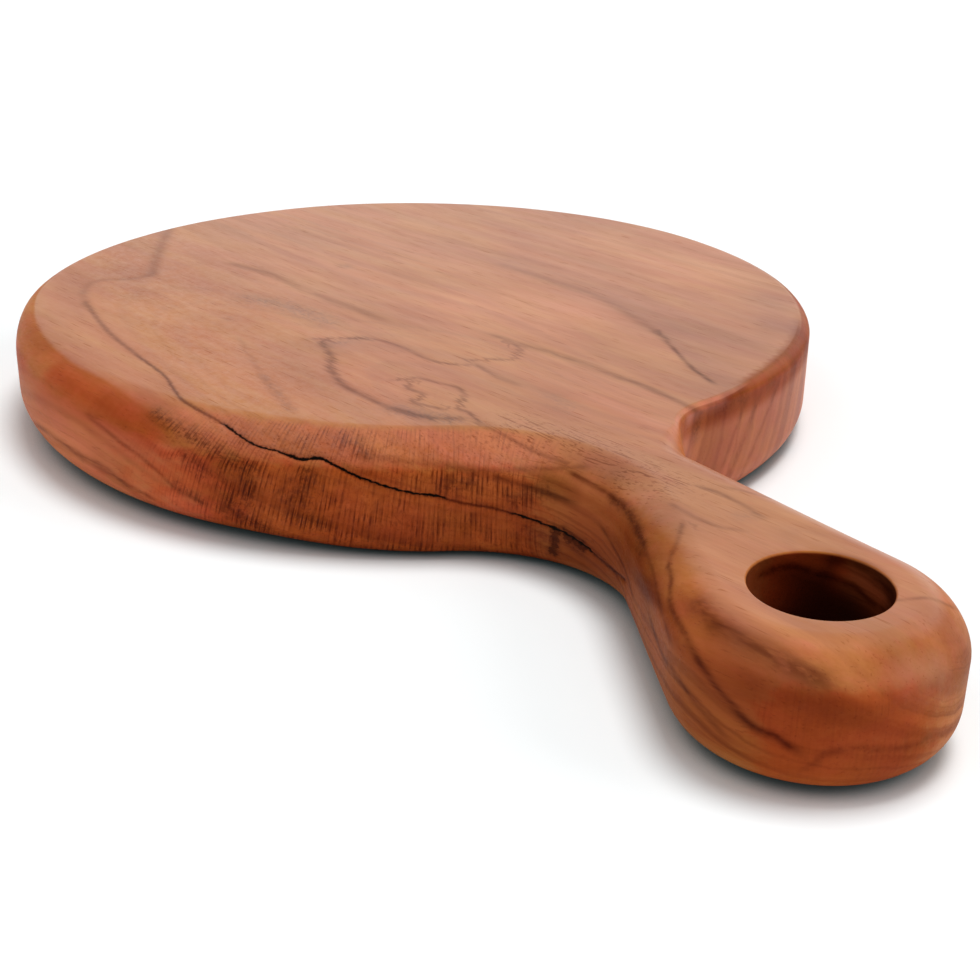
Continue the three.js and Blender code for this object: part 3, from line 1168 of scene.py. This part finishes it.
@dataclass(frozen=True)
class OiledTeak:
    """Sanded and oiled teak: a warm tan on the long grain, orange brown where the end grain drinks oil."""

    pale: Colour = (0.462, 0.172, 0.042, 1.0)
    deep: Colour = (0.36, 0.115, 0.022, 1.0)
    # A lighter, redder tint: freshly sanded wood on the bevels, partly painted light there, and painted light
    # on the side walls at the left tip and on the right
    fresh_and_painted_light: Colour = (0.5, 0.15, 0.052, 1.0)
    mauve: Colour = (0.97, 0.84, 1.0, 1.0)
    late: Colour = (0.48, 0.34, 0.23, 1.0)
    # Browner wood beside some lines and in patches, and painted shade in the shoulder's hollow, at the near
    # wall's foot and over the right wall
    outer: Colour = (0.62, 0.5, 0.46, 1.0)
    figure: Colour = (0.34, 0.24, 0.18, 1.0)
    soak: Colour = (0.93, 0.58, 0.45, 1.0)
    # Painted shade on the left-facing sides of the neck and handle, and the darker band where the right edge
    # turns down
    steep: Colour = (0.68, 0.52, 0.42, 1.0)
    # Dark specks and ray clusters, and painted shade in the crook's corner and the shoulder's hollow
    dark_marks_and_corner_shade: Colour = (0.3, 0.24, 0.22, 1.0)
    ray: Colour = (0.36, 0.26, 0.22, 1.0)
    pore: Colour = (0.5, 0.36, 0.28, 1.0)
    # Near black: painted shadow deep inside the open shake
    parted: Colour = (0.004, 0.002, 0.001, 1.0)
    lining: Colour = (0.75, 0.5, 0.52, 1.0)
    # Painted shade deep in the hole, away from the places that light reaches
    painted_bore_shade: Colour = (0.11, 0.09, 0.08, 1.0)
    # A lighter tint with a strong blue lift: paler wood, and painted sheen and painted light where the pale
    # patches lie
    paler_and_painted_light: Colour = (1.19, 1.22, 1.65, 1.0)
    ring_spacing: float = 3.8
    broad_spacing: float = 13.0
    ray_band: float = 7.0
    ray_spacing: float = 1.05
    ray_jitter: float = 9.0
    cells: TeakCells = TeakCells()

    def material(self) -> bpy.types.Material:
        """Builds the material.

        Returns:
            The material.
        """
        made = bpy.data.materials.new("oiled_teak")
        made.use_nodes = True
        TeakNodes(self, made.node_tree).shade()
        return made


class TeakNodes:
    """The shader nodes of oiled teak, on axes turned to the grain and in millimetres."""

    def __init__(self, wood: OiledTeak, tree: bpy.types.NodeTree) -> None:
        """Sets up the patterns that several parts of the finish read.

        Args:
            wood: The finish.
            tree: The material's node tree.
        """
        self.wood = wood
        self.graph = Graph(tree)
        turned = {
            "Vector": self.graph.node("TexCoord").outputs["Object"],
            "Rotation": (0.0, 0.0, -GRAIN_TURN),
            "Scale": (1 / MM,) * 3,
        }
        self.place = self.graph.value("Mapping", turned)
        uneven = self.noise(wood.cells.wobble) - 0.5
        self.waver = uneven * 1.5
        self.fibre = self.noise(wood.cells.fibre)
        self.streak = self.noise(wood.cells.streak)
        self.feather = (self.noise(wood.cells.fray) - 0.5) * 9.0
        self.wall = self.graph.attribute("wall")
        self.bevel = self.graph.attribute("bevel")
        self.end_grain = (self.graph.attribute("end_grain") + uneven * 1.2).ease(0.1, 0.9)

    def noise(self, cells: Cells) -> Value:
        """Adds noise on the grain's axes."""
        return self.graph.noise(self.place, cells)

    def ground(self) -> tuple[Value, Value]:
        """Colours the wood before its rays and dark lines: mottling, ring bands, pores and soaked ends, with
        painted light and shade in patches, on the bevels and side walls and on the handle's left side.

        Returns:
            The colour, and the mask of the pores.
        """
        graph, wood, cells = self.graph, self.wood, self.wood.cells
        tone = self.noise(cells.mottle) + self.streak * 0.5 + self.fibre * 0.3
        colour = graph.mix(tone.ease(0.6, 1.2), wood.pale, wood.deep)
        # Lighter sanded bevels, partly painted light, and painted light on the side walls
        fresh_and_painted_light = graph.attribute("fresh_and_painted_light") + self.waver * 0.6
        colour = graph.mix(fresh_and_painted_light.ease(0.05, 0.8), colour, wood.fresh_and_painted_light)
        colour = colour.tinted(self.noise(cells.cast).ease(0.35, 0.65), wood.mauve)
        ring = graph.attribute("ring") + self.waver * graph.attribute("ring_slope")
        ring = ring + self.feather * (graph.attribute("ring_cross") * (1.0 - self.wall))
        fine = graph.bands(ring, wood.ring_spacing, 0.6).ease(0.42, 0.68) * graph.attribute("fine_rings")
        broad = graph.bands(ring, wood.broad_spacing, 0.6).ease(0.42, 0.68) * graph.attribute("broad_rings")
        shown = self.wall.ease(0.0, 1.0, (0.22, 0.8)) - self.end_grain * 0.4
        colour = colour.tinted((fine | broad) * shown, wood.late)
        # Browner wood, and painted shade in the shoulder's hollow, at the near wall's foot and over the right
        # wall
        colour = colour.tinted(graph.attribute("shade"), wood.outer)
        # Paler wood, with painted highlights and painted light on the handle and by the crook
        colour = colour.tinted(graph.attribute("light"), wood.paler_and_painted_light)
        porous = graph.attribute("porous")
        pores = (self.noise(cells.pores) - porous.ease(0.0, 1.0, (0.64, 0.56))).steep(9.0)
        speckled = porous | self.bevel * 0.6
        pores = pores | (self.noise(cells.specks) - 0.55).steep(8.0) * speckled
        colour = colour.tinted(pores * speckled.ease(0.0, 1.0, (0.3, 0.8)), wood.pore)
        colour = colour.tinted(self.end_grain | graph.attribute("soaked"), wood.soak)
        # Painted shade on the left side of the neck and handle, and the darker band on the right edge
        return colour.tinted(graph.attribute("painted_side_shade_and_band"), wood.steep), pores

    def rays(self) -> Value:
        """Draws the rays: fine dark teeth that fan out from the pith on the end grain, in cloudy patches.

        The teeth follow sin(swing tau / spacing + jitter), and noise breaks them and adds to them.

        Returns:
            The mask of the rays.
        """
        graph, wood, cells = self.graph, self.wood, self.wood.cells
        swing = graph.attribute("swing") + self.waver * 0.06
        climb = graph.attribute("climb")
        fan = graph.value("CombineXYZ", {0: swing, 1: climb * 0.08})
        pits = graph.value("CombineXYZ", {0: swing, 1: climb * 0.4})
        jitter = graph.noise(fan, cells.ray_drift) * wood.ray_jitter
        teeth = graph.math("SINE", swing * (math.tau / wood.ray_spacing) + jitter).ease(0.0, 0.8)
        comb = graph.noise(fan, cells.ray_comb).ease(0.42, 0.6) * 0.6 | teeth
        lines = comb * graph.noise(fan, cells.ray_dashes).ease(0.36, 0.6, (0.15, 1.0))
        marks = lines | graph.noise(pits, cells.ray_pits).ease(0.5, 0.66, (0.0, 0.5))
        dark_marks_and_corner_shade = graph.attribute("dark_marks_and_corner_shade")
        banded = graph.bands(graph.attribute("ring"), wood.ray_band, 0.5) - 0.5
        clouded = self.noise(cells.ray_cloud) + dark_marks_and_corner_shade * 0.3 + banded * 0.9
        patches = clouded.ease(0.4, 0.68, (0.5, 1.0))
        bare = self.end_grain | self.bevel * 0.7
        return marks * patches * (graph.attribute("ray_patch") * bare) | marks * dark_marks_and_corner_shade * bare

    def lines(self) -> dict[Layer, Value]:
        """Draws the dark ring lines. A line across the grain frays along it, fibre by fibre.

        Returns:
            The masks of the lines by layer.
        """
        graph, cells = self.graph, self.wood.cells
        group = ring_line_group()
        broken = self.noise(cells.line_dashes).ease(0.36, 0.6, (0.55, 1.0))
        masks = {}
        for layer in Layer:
            gap, cross, dark, width = (graph.attribute(f"{layer.value}_{name}") for name in LINE_VALUES)
            frayed = self.feather * cross
            if layer is Layer.SHAKE:
                waver = self.waver * 0.15 + (frayed * 0.2 + (self.noise(cells.shake_jag) - 0.5) * 0.7)
            else:
                waver = self.waver * 0.5 + frayed
                dark = dark * broken
            inputs = {"Gap": gap, "Waver": waver, "Half Width": width, "Dark": dark}
            masks[layer] = Value(graph, graph.node("Group", inputs, node_tree=group).outputs["Mask"])
        return masks

    def gloss(self) -> Value:
        """Gives the gloss, with a speckled border: gloss + 8 speckle gloss (1 - gloss) (noise - 1/2).

        Returns:
            The gloss, 0 to 1.
        """
        gloss = self.graph.math("MINIMUM", self.graph.attribute("gloss"), 1.0)
        border = gloss * (1.0 - gloss) * self.graph.attribute("speckle")
        dots = (self.noise(self.wood.cells.gloss_dots) - 0.5) * 8.0
        return self.graph.math("ADD", gloss, border * dots, clamp=True)

    def shade(self) -> None:
        """Joins the colour, the relief and the gloss in one shader."""
        graph, wood = self.graph, self.wood
        colour, pores = self.ground()
        rays = self.rays()
        colour = colour.tinted(rays, wood.ray)
        grit = (self.noise(wood.cells.grit) + rays * 0.4).ease(0.4, 0.75, (0.3, 0.9))
        # Dark specks and ray clusters, with painted shade in the crook's corner and the shoulder's hollow
        colour = colour.tinted(graph.attribute("dark_marks_and_corner_shade") * grit, wood.dark_marks_and_corner_shade)
        lines = self.lines()
        figure = lines[Layer.SHAKE] | lines[Layer.FIGURE] | lines[Layer.COUNTER]
        colour = colour.tinted(figure, wood.figure)
        # The open shake is filled with painted shadow
        parted = (lines[Layer.SHAKE] * graph.attribute("parted")).ease(0.3, 0.75)
        colour = graph.mix(parted, colour, wood.parted)
        bore = graph.attribute("bore")
        colour = colour.tinted(bore, wood.lining)
        colour = colour.tinted(graph.attribute("painted_bore_shade"), wood.painted_bore_shade)

        rough = self.fibre.ease(0.2, 0.8, (0.42, 0.54)) + self.end_grain * 0.15
        relief = self.fibre * 0.4 + (pores * -0.6 + rays * -0.8)
        bump = graph.value("Bump", {"Strength": 0.3, "Distance": 0.0003, "Height": relief})
        dulled = parted | bore | (figure * 0.5 | pores * 0.4)
        polish = self.streak.ease(0.3, 0.7, (1.0, 0.86)) * (1.0 - dulled)
        inputs = {
            "Base Color": colour,
            "Roughness": rough,
            "Normal": bump,
            "IOR": 1.1,
            "Coat Weight": self.gloss() * polish,
            "Coat Roughness": 0.36,
            "Coat IOR": 1.56,
        }
        shader = graph.node("BsdfPrincipled", inputs)
        graph.node("OutputMaterial", {"Surface": shader.outputs[0]})


@dataclass(frozen=True)
class PaleFloor:
    """A matt white floor that takes the board's shadow, with painted shadow darkening its colour in the
    corner where the board meets it.
    """

    open: Colour = (0.95, 0.98, 0.985, 1.0)
    # Painted contact shadow, tinted against the wood's warm bounce
    corner: Colour = (0.13, 0.2, 0.215, 1.0)
    painted_shadow_reach: float = 20.0

    def material(self) -> bpy.types.Material:
        """Builds the material.

        Returns:
            The material.
        """
        made = bpy.data.materials.new("pale_floor")
        made.use_nodes = True
        graph = Graph(made.node_tree)
        # Ambient occlusion darkens the floor's colour near the board: painted shadow
        shelter = graph.node("AmbientOcclusion", {"Distance": self.painted_shadow_reach * MM})
        clear = Value(graph, shelter.outputs["AO"]).ease(0.08, 0.62)
        matt = graph.node("BsdfDiffuse", {"Color": graph.mix(clear, self.corner, self.open)})
        graph.node("OutputMaterial", {"Surface": matt.outputs[0]})
        return made


# The board


@dataclass(frozen=True)
class Zones:
    """Where each zone of the board begins and where it is full.

    Places are in millimetres: x, y, the depth below the top or a distance. Facing is a share of the outward
    direction.
    """

    wall_facing: Span = (0.66, 0.26)
    end_facing: Span = (0.3, 0.8)
    leftward_facing: Span = (0.5, -0.1)
    bevel_low_facing: Span = (0.3, 0.6)
    bevel_high_facing: Span = (0.998, 0.868)
    front_facing: Span = (0.35, 0.7)
    back_facing: Span = (0.0, 0.4)
    handle_facing: Span = (0.2, -0.7)
    shaded_side_facing: Span = (-0.75, -0.25)
    level_facing: Span = (0.9, 0.98)
    left_x: Span = (-66.0, -80.0)
    right_x: Span = (12.0, 22.0)
    right_y: Span = (-118.0, -106.0)
    handle_y: Span = (-96.0, -112.0)
    handle_side_y: Span = (-102.0, -116.0)
    neck_y: Span = (-90.0, -102.0)
    neck_end_y: Span = (-152.0, -130.0)
    crisp_x: Span = (32.0, 48.0)
    brim: Span = (96.3, 97.2)
    brim_x: Span = (38.0, 44.0)
    brim_y: Span = (-46.0, -71.0)
    band_depth: Span = (8.0, 4.5)
    bore_depth: Span = (0.1, 0.7)
    gloss_left_x: Span = (-62.0, -87.0)
    dull_x: Span = (-10.0, -80.0)
    even_x: Span = (5.0, 15.0)
    ray_gap: Span = (64.0, 24.0)
    ray_lean_x: Span = (-15.0, -90.0)
    fray_y: Span = (-98.0, -86.0)
    calm_x: Span = (12.0, 27.0)
    shaded_side: Span = (-0.6, 1.4)
    end_grain_to: float = -125.0


@dataclass(frozen=True)
class Shares:
    """How much the zones of the board count in the values that its finish reads."""

    least_fray: float = 0.1
    calm_fray: float = 0.9
    edge_start: float = 0.7
    edge_crisp: float = 0.285
    edge_ease: float = 0.1
    gloss_start: float = 0.8
    gloss_full: float = 0.97
    start_front: float = 0.3
    start_neck: float = 0.22
    start_left: float = 0.12
    full_front: float = 0.12
    least_gloss: float = 0.03
    right_gloss: float = 0.3
    left_dull: float = 0.25
    band_dull: float = 0.7
    back_dull: float = 0.7
    least_bevel: float = 0.12
    fresh_and_lit_bevel: float = 0.5
    fresh_and_lit_rays: float = 0.25
    painted_light_wall: float = 0.75
    dimmer_handle_bevel: float = 0.6
    dimmer_left_bevel: float = 0.45
    rings_right: float = 0.7
    rings_left: float = 0.5
    rings_broad: float = 0.8
    dark_band_in_side_shade: float = 0.9
    even_border: float = 0.75
    least_rays: float = 0.16


@dataclass
class ServingBoard:
    """The plank: its skin with the parted shake, and the ring values that its finish reads."""

    camera: PhotoCamera
    finish: OiledTeak = field(default_factory=OiledTeak)
    rings: GrowthRings = field(default_factory=GrowthRings)
    zones: Zones = Zones()
    shares: Shares = Shares()
    least_slope: float = 0.15
    plain_width: float = 0.8
    plain_weight: float = 0.01
    far_off: float = 60.0
    shade_reach: float = 14.0
    shake_depth: float = 0.9
    uneven: float = 0.07
    wave_count: int = 24
    wave_lengths: Span = (25.0, 90.0)
    wave_seed: int = 11
    resting_below: float = 0.01
    ray_centre: tuple[float, float, float] = (-48.0, -86.0, 11.0)
    ray_lean: float = math.radians(21.0)
    porous_reach: float = 7.0

    def shape(self) -> BoardShape:
        """Gives the board's form at the thickness of the CAD part."""
        low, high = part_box(NODE)
        return BoardShape(thickness=(high.z - low.z) / MM)

    def seen(self, tree: BVHTree, pixels: Array) -> Array:
        """Finds where the lines of sight through pixels meet the board.

        Args:
            tree: The board's skin.
            pixels: Columns and rows in the photograph, one pair a row.

        Returns:
            Places on the board, one for each line of sight that meets it.
        """
        eye = Vector(self.camera.place())
        hits = [tree.ray_cast(eye, Vector(ray))[0] for ray in self.camera.rays(pixels)]
        places = [tuple(hit) for hit in hits if hit is not None]
        if len(places) < len(pixels):
            missed = len(pixels) - len(places)
            log.warning("%d of %d lines of sight from %s miss the board", missed, len(pixels), pixels[0])
        return np.array(places)

    def lines(self, skin: Skin, traced: list[tuple[Stroke, Array]]) -> dict[str, Array]:
        """Tells each point about the lines beside it: the gap, the darkness, the half width and the opening.

        A stroke counts by exp(-(distance / reach)^2). In each layer the nearest stroke gives the gap, signed
        by its side, and the darkest gives the darkness. The half width is averaged.

        Args:
            skin: The board's skin.
            traced: Each stroke with its places on the board.

        Returns:
            Values by name, one a point.
        """
        count = len(skin.points)
        values = {"parted": np.zeros(count), "shade": np.zeros(count)}
        zones, shares = self.zones, self.shares
        on_blade = ramp(skin.points[:, 1], zones.fray_y) * ramp(skin.normals[:, 2], zones.level_facing)
        frayed = on_blade * (1.0 - shares.calm_fray * ramp(skin.points[:, 0], zones.calm_x))
        fray = shares.least_fray + (1.0 - shares.least_fray) * frayed
        for layer in Layer:
            gap, dark, best = np.full(count, self.far_off), np.zeros(count), np.zeros(count)
            cross = np.zeros(count)
            weight = np.full(count, self.plain_weight)
            width = self.plain_width * weight
            for stroke, places in traced:
                if stroke.layer is not layer:
                    continue
                margin = max(3 * stroke.reach, 2 * self.shade_reach * (stroke.shade != 0.0))
                low, high = places.min(axis=0) - margin, places.max(axis=0) + margin
                close = np.nonzero(((skin.points > low) & (skin.points < high)).all(axis=1))[0]
                offset, distance, across = self.beside(skin, close, places)
                near = np.exp(-((distance / stroke.reach) ** 2))
                dark[close] = np.maximum(dark[close], stroke.dark * near)
                values["parted"][close] = np.maximum(values["parted"][close], stroke.open * near)
                width[close] += near * stroke.half_width
                weight[close] += near
                gap[close] = np.where(near > best[close], offset, gap[close])
                cross[close] = np.where(near > best[close], across * fray[close], cross[close])
                best[close] = np.maximum(best[close], near)
                side = ramp(np.sign(stroke.shade) * offset, zones.shaded_side)
                shade = abs(stroke.shade) * side * np.exp(-((distance / self.shade_reach) ** 2))
                values["shade"][close] = np.maximum(values["shade"][close], shade)
            columns = (gap, cross, dark, width / weight)
            values |= {f"{layer.value}_{name}": column for name, column in zip(LINE_VALUES, columns)}
        return values

    def beside(self, skin: Skin, chosen: Array, line: Array) -> tuple[Array, Array, Array]:
        """Measures points of the skin against a line on it.

        Args:
            skin: The board's skin.
            chosen: Indices of the points to measure.
            line: Points along the line.

        Returns:
            How far each point lies to the line's left, its distance from the line, and how much of a step
            along the grain goes to the line's left.
        """
        tangents = np.gradient(line, axis=0)
        offsets, distances, across = (np.zeros(len(chosen)) for _ in range(3))
        for start in range(0, len(chosen), CHUNK):
            here = slice(start, start + CHUNK)
            part = chosen[here]
            apart = skin.points[part][:, None, :] - line
            squares = (apart**2).sum(axis=2)
            nearest = squares.argmin(axis=1)
            left = np.cross(skin.normals[part], tangents[nearest])
            left /= np.maximum(np.linalg.norm(left, axis=1, keepdims=True), 1e-6)
            offsets[here] = (apart[np.arange(len(part)), nearest] * left).sum(axis=1)
            distances[here] = np.sqrt(squares.min(axis=1))
            across[here] = left @ GRAIN
        return offsets, distances, across

    def spread(self, points: Array, tree: BVHTree, patches: tuple[Patch, ...]) -> Array:
        """Gives how strong patches are at points: the most of strength exp(-(distance / reach)^2).

        Args:
            points: Points of the skin.
            tree: The board's skin.
            patches: The patches.

        Returns:
            One value a point.
        """
        strength = np.zeros(len(points))
        for patch in patches:
            path = curve(patch.pixels, 4) if len(patch.pixels) > 1 else np.array(patch.pixels)
            gaps = nearest_gap(points, self.seen(tree, path))
            strength = np.maximum(strength, patch.strength * np.exp(-((gaps / patch.reach) ** 2)))
        return strength

    def porous(self, points: Array, tree: BVHTree) -> Array:
        """Gives where open pores lie close together: exp(-(distance / reach)^2) from their middle line."""
        gaps = nearest_gap(points, self.seen(tree, np.array(POROUS_PIXELS)))
        return np.exp(-((gaps / self.porous_reach) ** 2))

    def grain(self, skin: Skin, thickness: float) -> dict[str, Array]:
        """Tells each point how its surface cuts the grain.

        Args:
            skin: The board's skin.
            thickness: The board's thickness.

        Returns:
            Values by name, one a point: the walls, the bevel over them, the lighter sanded edges with painted
            light on the side walls, the painted shade on the left side of the neck and handle with the dark
            band on the right edge, how strong the ring bands are, the end grain, the rays' place round the
            pith and where they show most, the gloss, the speckle of its border, and the hole's lining.
        """
        zones, shares = self.zones, self.shares
        x, y, z = skin.points.T
        depth = thickness - z
        facing_x, facing_y, facing_z = skin.normals.T
        sideways = np.maximum(np.hypot(facing_x, facing_y), 1e-3)
        wall = ramp(facing_z, zones.wall_facing)
        bevel = ramp(facing_z, zones.bevel_low_facing) * ramp(facing_z, zones.bevel_high_facing)
        bevel *= 1 - skin.bore
        rightward = ramp(x, zones.right_x)
        # End grain is darkened only where the wall faces left, and not on the blade's right, so the
        # right-facing walls stay lighter: painted light
        across = ramp(np.abs(facing_y) / sideways, zones.end_facing) * ramp(facing_x, zones.leftward_facing)
        across *= np.where(y > zones.end_grain_to, 1.0 - rightward, 1.0)
        patch = ramp(np.linalg.norm(skin.points - np.array(self.ray_centre), axis=1), zones.ray_gap)
        lean = self.ray_lean * ramp(x, zones.ray_lean_x)
        left_side = ramp(x, zones.left_x)
        right_side = rightward * ramp(y, zones.right_y)
        edge_from = shares.edge_start + shares.edge_crisp * ramp(x, zones.crisp_x)
        turned_down = ramp(facing_z, (edge_from, edge_from - shares.edge_ease))
        outermost = ramp(np.hypot(x, y), zones.brim) * ramp(x, zones.brim_x) * ramp(y, zones.brim_y)
        dark_band = right_side * ramp(depth, zones.band_depth) * np.maximum(turned_down, outermost)
        handle_side = ramp(y, zones.handle_side_y) * ramp(facing_x, zones.handle_facing)
        on_handle = ramp(y, zones.handle_y)
        front_edge = ramp(-facing_y / sideways, zones.front_facing) * (1.0 - on_handle)
        neck = ramp(y, zones.neck_y) * ramp(y, zones.neck_end_y)
        gloss_from = shares.gloss_start - shares.start_front * front_edge - shares.start_neck * neck
        gloss_from += shares.start_left * ramp(x, zones.gloss_left_x)
        gloss_full = shares.gloss_full - shares.full_front * np.maximum(front_edge, neck)
        top_gloss = ramp(facing_z, (gloss_from, gloss_full))
        top_gloss *= (1.0 - shares.left_dull * ramp(x, zones.dull_x)) * (1.0 - shares.band_dull * dark_band)
        right_gloss = shares.right_gloss * wall * right_side * (1.0 - dark_band)
        gloss = shares.least_gloss + (1.0 - shares.least_gloss) * top_gloss + right_gloss
        # The bevel is lighter: freshly sanded wood, partly painted light
        fresh_and_lit_bevel = bevel * (shares.fresh_and_lit_bevel + shares.fresh_and_lit_rays * patch)
        fresh_and_lit_bevel *= (1.0 - shares.dimmer_handle_bevel * on_handle) * (1.0 - shares.dimmer_left_bevel * left_side)
        # Painted light: the side walls at the left tip and on the right are made lighter
        painted_light_wall = shares.painted_light_wall * wall * np.maximum(left_side, right_side)
        # Painted shade on the left-facing walls of the neck and handle
        painted_side_shade_and_band = wall * handle_side * ramp(facing_z, zones.shaded_side_facing) * (1 - skin.bore)
        even = 1.0 - shares.even_border * np.maximum(on_handle, left_side)
        return {
            "wall": wall,
            "bevel": bevel * (shares.least_bevel + (1.0 - shares.least_bevel) * patch),
            "fresh_and_painted_light": np.maximum(fresh_and_lit_bevel, painted_light_wall),
            "fine_rings": 1.0 - shares.rings_right * right_side - shares.rings_left * left_side,
            "broad_rings": np.full(len(x), shares.rings_broad),
            "painted_side_shade_and_band": np.maximum(painted_side_shade_and_band, shares.dark_band_in_side_shade * dark_band),
            "end_grain": wall * across,
            "swing": skin.around - (skin.climb - thickness / 2) * np.tan(lean),
            "climb": skin.climb,
            "ray_patch": shares.least_rays + (1 - shares.least_rays) * patch,
            "gloss": gloss * (1.0 - shares.back_dull * ramp(facing_y, zones.back_facing)),
            "speckle": (1.0 - ramp(x, zones.even_x)) * even,
            "bore": skin.bore * ramp(depth, zones.bore_depth),
        }

    def build(self) -> bpy.types.Object:
        """Builds the board's mesh and stores the ring values at its points.

        Returns:
            The board object.
        """
        shape = self.shape()
        skin = shape.skin()
        tree = BVHTree.FromPolygons(skin.points.tolist(), skin.triangles.tolist())
        traced = [(stroke, self.seen(tree, curve(stroke.pixels))) for stroke in STROKES]
        self.rings.fit([(stroke, places[::3]) for stroke, places in traced])
        level, gradient = self.rings.measure(skin.points)
        along = gradient - (gradient * skin.normals).sum(axis=1, keepdims=True) * skin.normals
        slope = np.maximum(np.linalg.norm(along, axis=1), self.least_slope)
        values = {"ring": level, "ring_slope": slope, "ring_cross": gradient @ GRAIN}
        values |= self.lines(skin, traced) | self.grain(skin, shape.thickness)
        values["porous"] = self.porous(skin.points, tree)
        values["dark_marks_and_corner_shade"] = self.spread(skin.points, tree, DARK_MARKS_AND_CORNER_SHADE)
        values["painted_bore_shade"] = values["bore"] * (1.0 - self.spread(skin.points, tree, BORE_LIGHTS))
        values["shade"] = np.maximum(values["shade"], self.spread(skin.points, tree, SHADES))
        values["gloss"] += self.spread(skin.points, tree, SHEENS)
        values["soaked"] = self.spread(skin.points, tree, SOAKED)
        values["light"] = self.spread(skin.points, tree, LIGHTS)
        plain = self.spread(skin.points, tree, PLAIN)
        values["fine_rings"] *= 1.0 - plain
        values["broad_rings"] *= 1.0 - plain
        groove = np.exp(-((values["shake_gap"] / values["shake_width"]) ** 2)) * values["parted"]
        wavy = waves(skin.points, self.wave_count, self.wave_lengths, self.wave_seed)
        dip = self.uneven * (1.0 + 0.5 * wavy).clip(0.0, 2.0)
        resting = skin.points[:, 2] < self.resting_below
        depth = self.shake_depth * groove + np.where(resting, 0.0, dip)
        points = skin.points - depth[:, None] * skin.normals
        board = bpy.data.objects.new("teak_board", self.mesh(points, skin.triangles, values))
        bpy.context.scene.collection.objects.link(board)
        log.info("teak_board: %d points, %d triangles", len(points), len(skin.triangles))
        return board

    def mesh(self, points: Array, triangles: Array, values: dict[str, Array]) -> bpy.types.Mesh:
        """Writes a smooth mesh in metres with values at its points.

        Args:
            points: Points in millimetres.
            triangles: Indices, three a row.
            values: Values by name, one a point.

        Returns:
            The mesh.
        """
        mesh = bpy.data.meshes.new("teak_board")
        mesh.vertices.add(len(points))
        mesh.vertices.foreach_set("co", (points * MM).astype(np.float32).ravel())
        mesh.loops.add(triangles.size)
        mesh.loops.foreach_set("vertex_index", triangles.astype(np.int32).ravel())
        mesh.polygons.add(len(triangles))
        mesh.polygons.foreach_set("loop_start", np.arange(0, triangles.size, 3, dtype=np.int32))
        mesh.polygons.foreach_set("use_smooth", np.ones(len(triangles), dtype=bool))
        mesh.update(calc_edges=True)
        for name, column in values.items():
            mesh.attributes.new(name, "FLOAT", "POINT").data.foreach_set("value", column.astype(np.float32))
        return mesh

    def dress(self, board: bpy.types.Object) -> None:
        """Gives the board its finish and ties it to the frame."""
        board.data.materials.append(self.finish.material())
        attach(board, BODY)
        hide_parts(NODE)


# Studio


@dataclass(frozen=True)
class SoftLamp:
    """A broad distant lamp: where it stands, how strong it is and how many degrees wide it looks.

    It lights the wood but isn't mirrored in it. The sheen comes from the sky and the floor alone.
    """

    name: str
    stands: tuple[float, float, float]
    strength: float
    width: float

    def build(self) -> bpy.types.Object:
        """Hangs the lamp.

        Returns:
            The lamp object.
        """
        data = bpy.data.lights.new(self.name, "SUN")
        data.energy = self.strength
        data.angle = math.radians(self.width)
        lamp = bpy.data.objects.new(self.name, data)
        lamp.visible_glossy = False
        lamp.rotation_mode = "QUATERNION"
        lamp.rotation_quaternion = Vector(self.stands).to_track_quat("Z", "Y")
        bpy.context.scene.collection.objects.link(lamp)
        return lamp


@dataclass(frozen=True)
class Studio:
    """A white floor under a soft white sky, with a broad lamp on each side."""

    floor_size: float = 6000.0
    floor_gap: float = 0.15
    ambient: float = 0.24
    lamps: tuple[SoftLamp, ...] = (
        SoftLamp("key_lamp", (0.21, 0.05, 0.97), 1.85, 26.0),
        SoftLamp("left_lamp", (-0.88, 0.0, 0.47), 0.8, 80.0),
        SoftLamp("right_lamp", (0.8, -0.4, 0.45), 1.0, 40.0),
        SoftLamp("front_lamp", (-0.3, -0.87, 0.4), 0.47, 80.0),
    )

    def build(self) -> None:
        """Makes the floor, the sky and the lamps."""
        self.floor()
        self.sky()
        for lamp in self.lamps:
            lamp.build()

    def floor(self) -> bpy.types.Object:
        """Lays the floor just under the board.

        Returns:
            The floor object.
        """
        half = self.floor_size / 2 * MM
        level = -self.floor_gap * MM
        corners = [(-half, -half, level), (half, -half, level), (half, half, level), (-half, half, level)]
        mesh = bpy.data.meshes.new("floor")
        mesh.from_pydata(corners, [], [(0, 1, 2, 3)])
        mesh.materials.append(PaleFloor().material())
        floor = bpy.data.objects.new("floor", mesh)
        bpy.context.scene.collection.objects.link(floor)
        log.info("floor: %.1f m wide", self.floor_size * MM)
        return floor

    def sky(self) -> None:
        """Sets a soft white sky, at full white where it is seen or mirrored."""
        world = bpy.data.worlds.new("studio_sky")
        world.use_nodes = True
        graph = Graph(world.node_tree)
        path = graph.node("LightPath")
        kinds = ("Is Camera Ray", "Is Glossy Ray", "Is Transmission Ray")
        camera, glossy, through = (Value(graph, path.outputs[kind]) for kind in kinds)
        strength = (camera | glossy | through).ease(0.0, 1.0, (self.ambient, 1.0))
        shader = graph.node("Background", {"Color": (1.0, 1.0, 1.0, 1.0), "Strength": strength})
        graph.node("OutputWorld", {"Surface": shader.outputs[0]})
        bpy.context.scene.world = world


def main() -> None:
    """Builds the camera, the board and the studio."""
    logging.basicConfig(level=logging.INFO, format="%(message)s")
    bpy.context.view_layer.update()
    bpy.context.scene.view_settings.view_transform = "Standard"
    camera = PhotoCamera()
    camera.build()
    board = ServingBoard(camera)
    board.dress(board.build())
    Studio().build()
    bpy.context.view_layer.update()


if __name__ == "__main__":
    main()
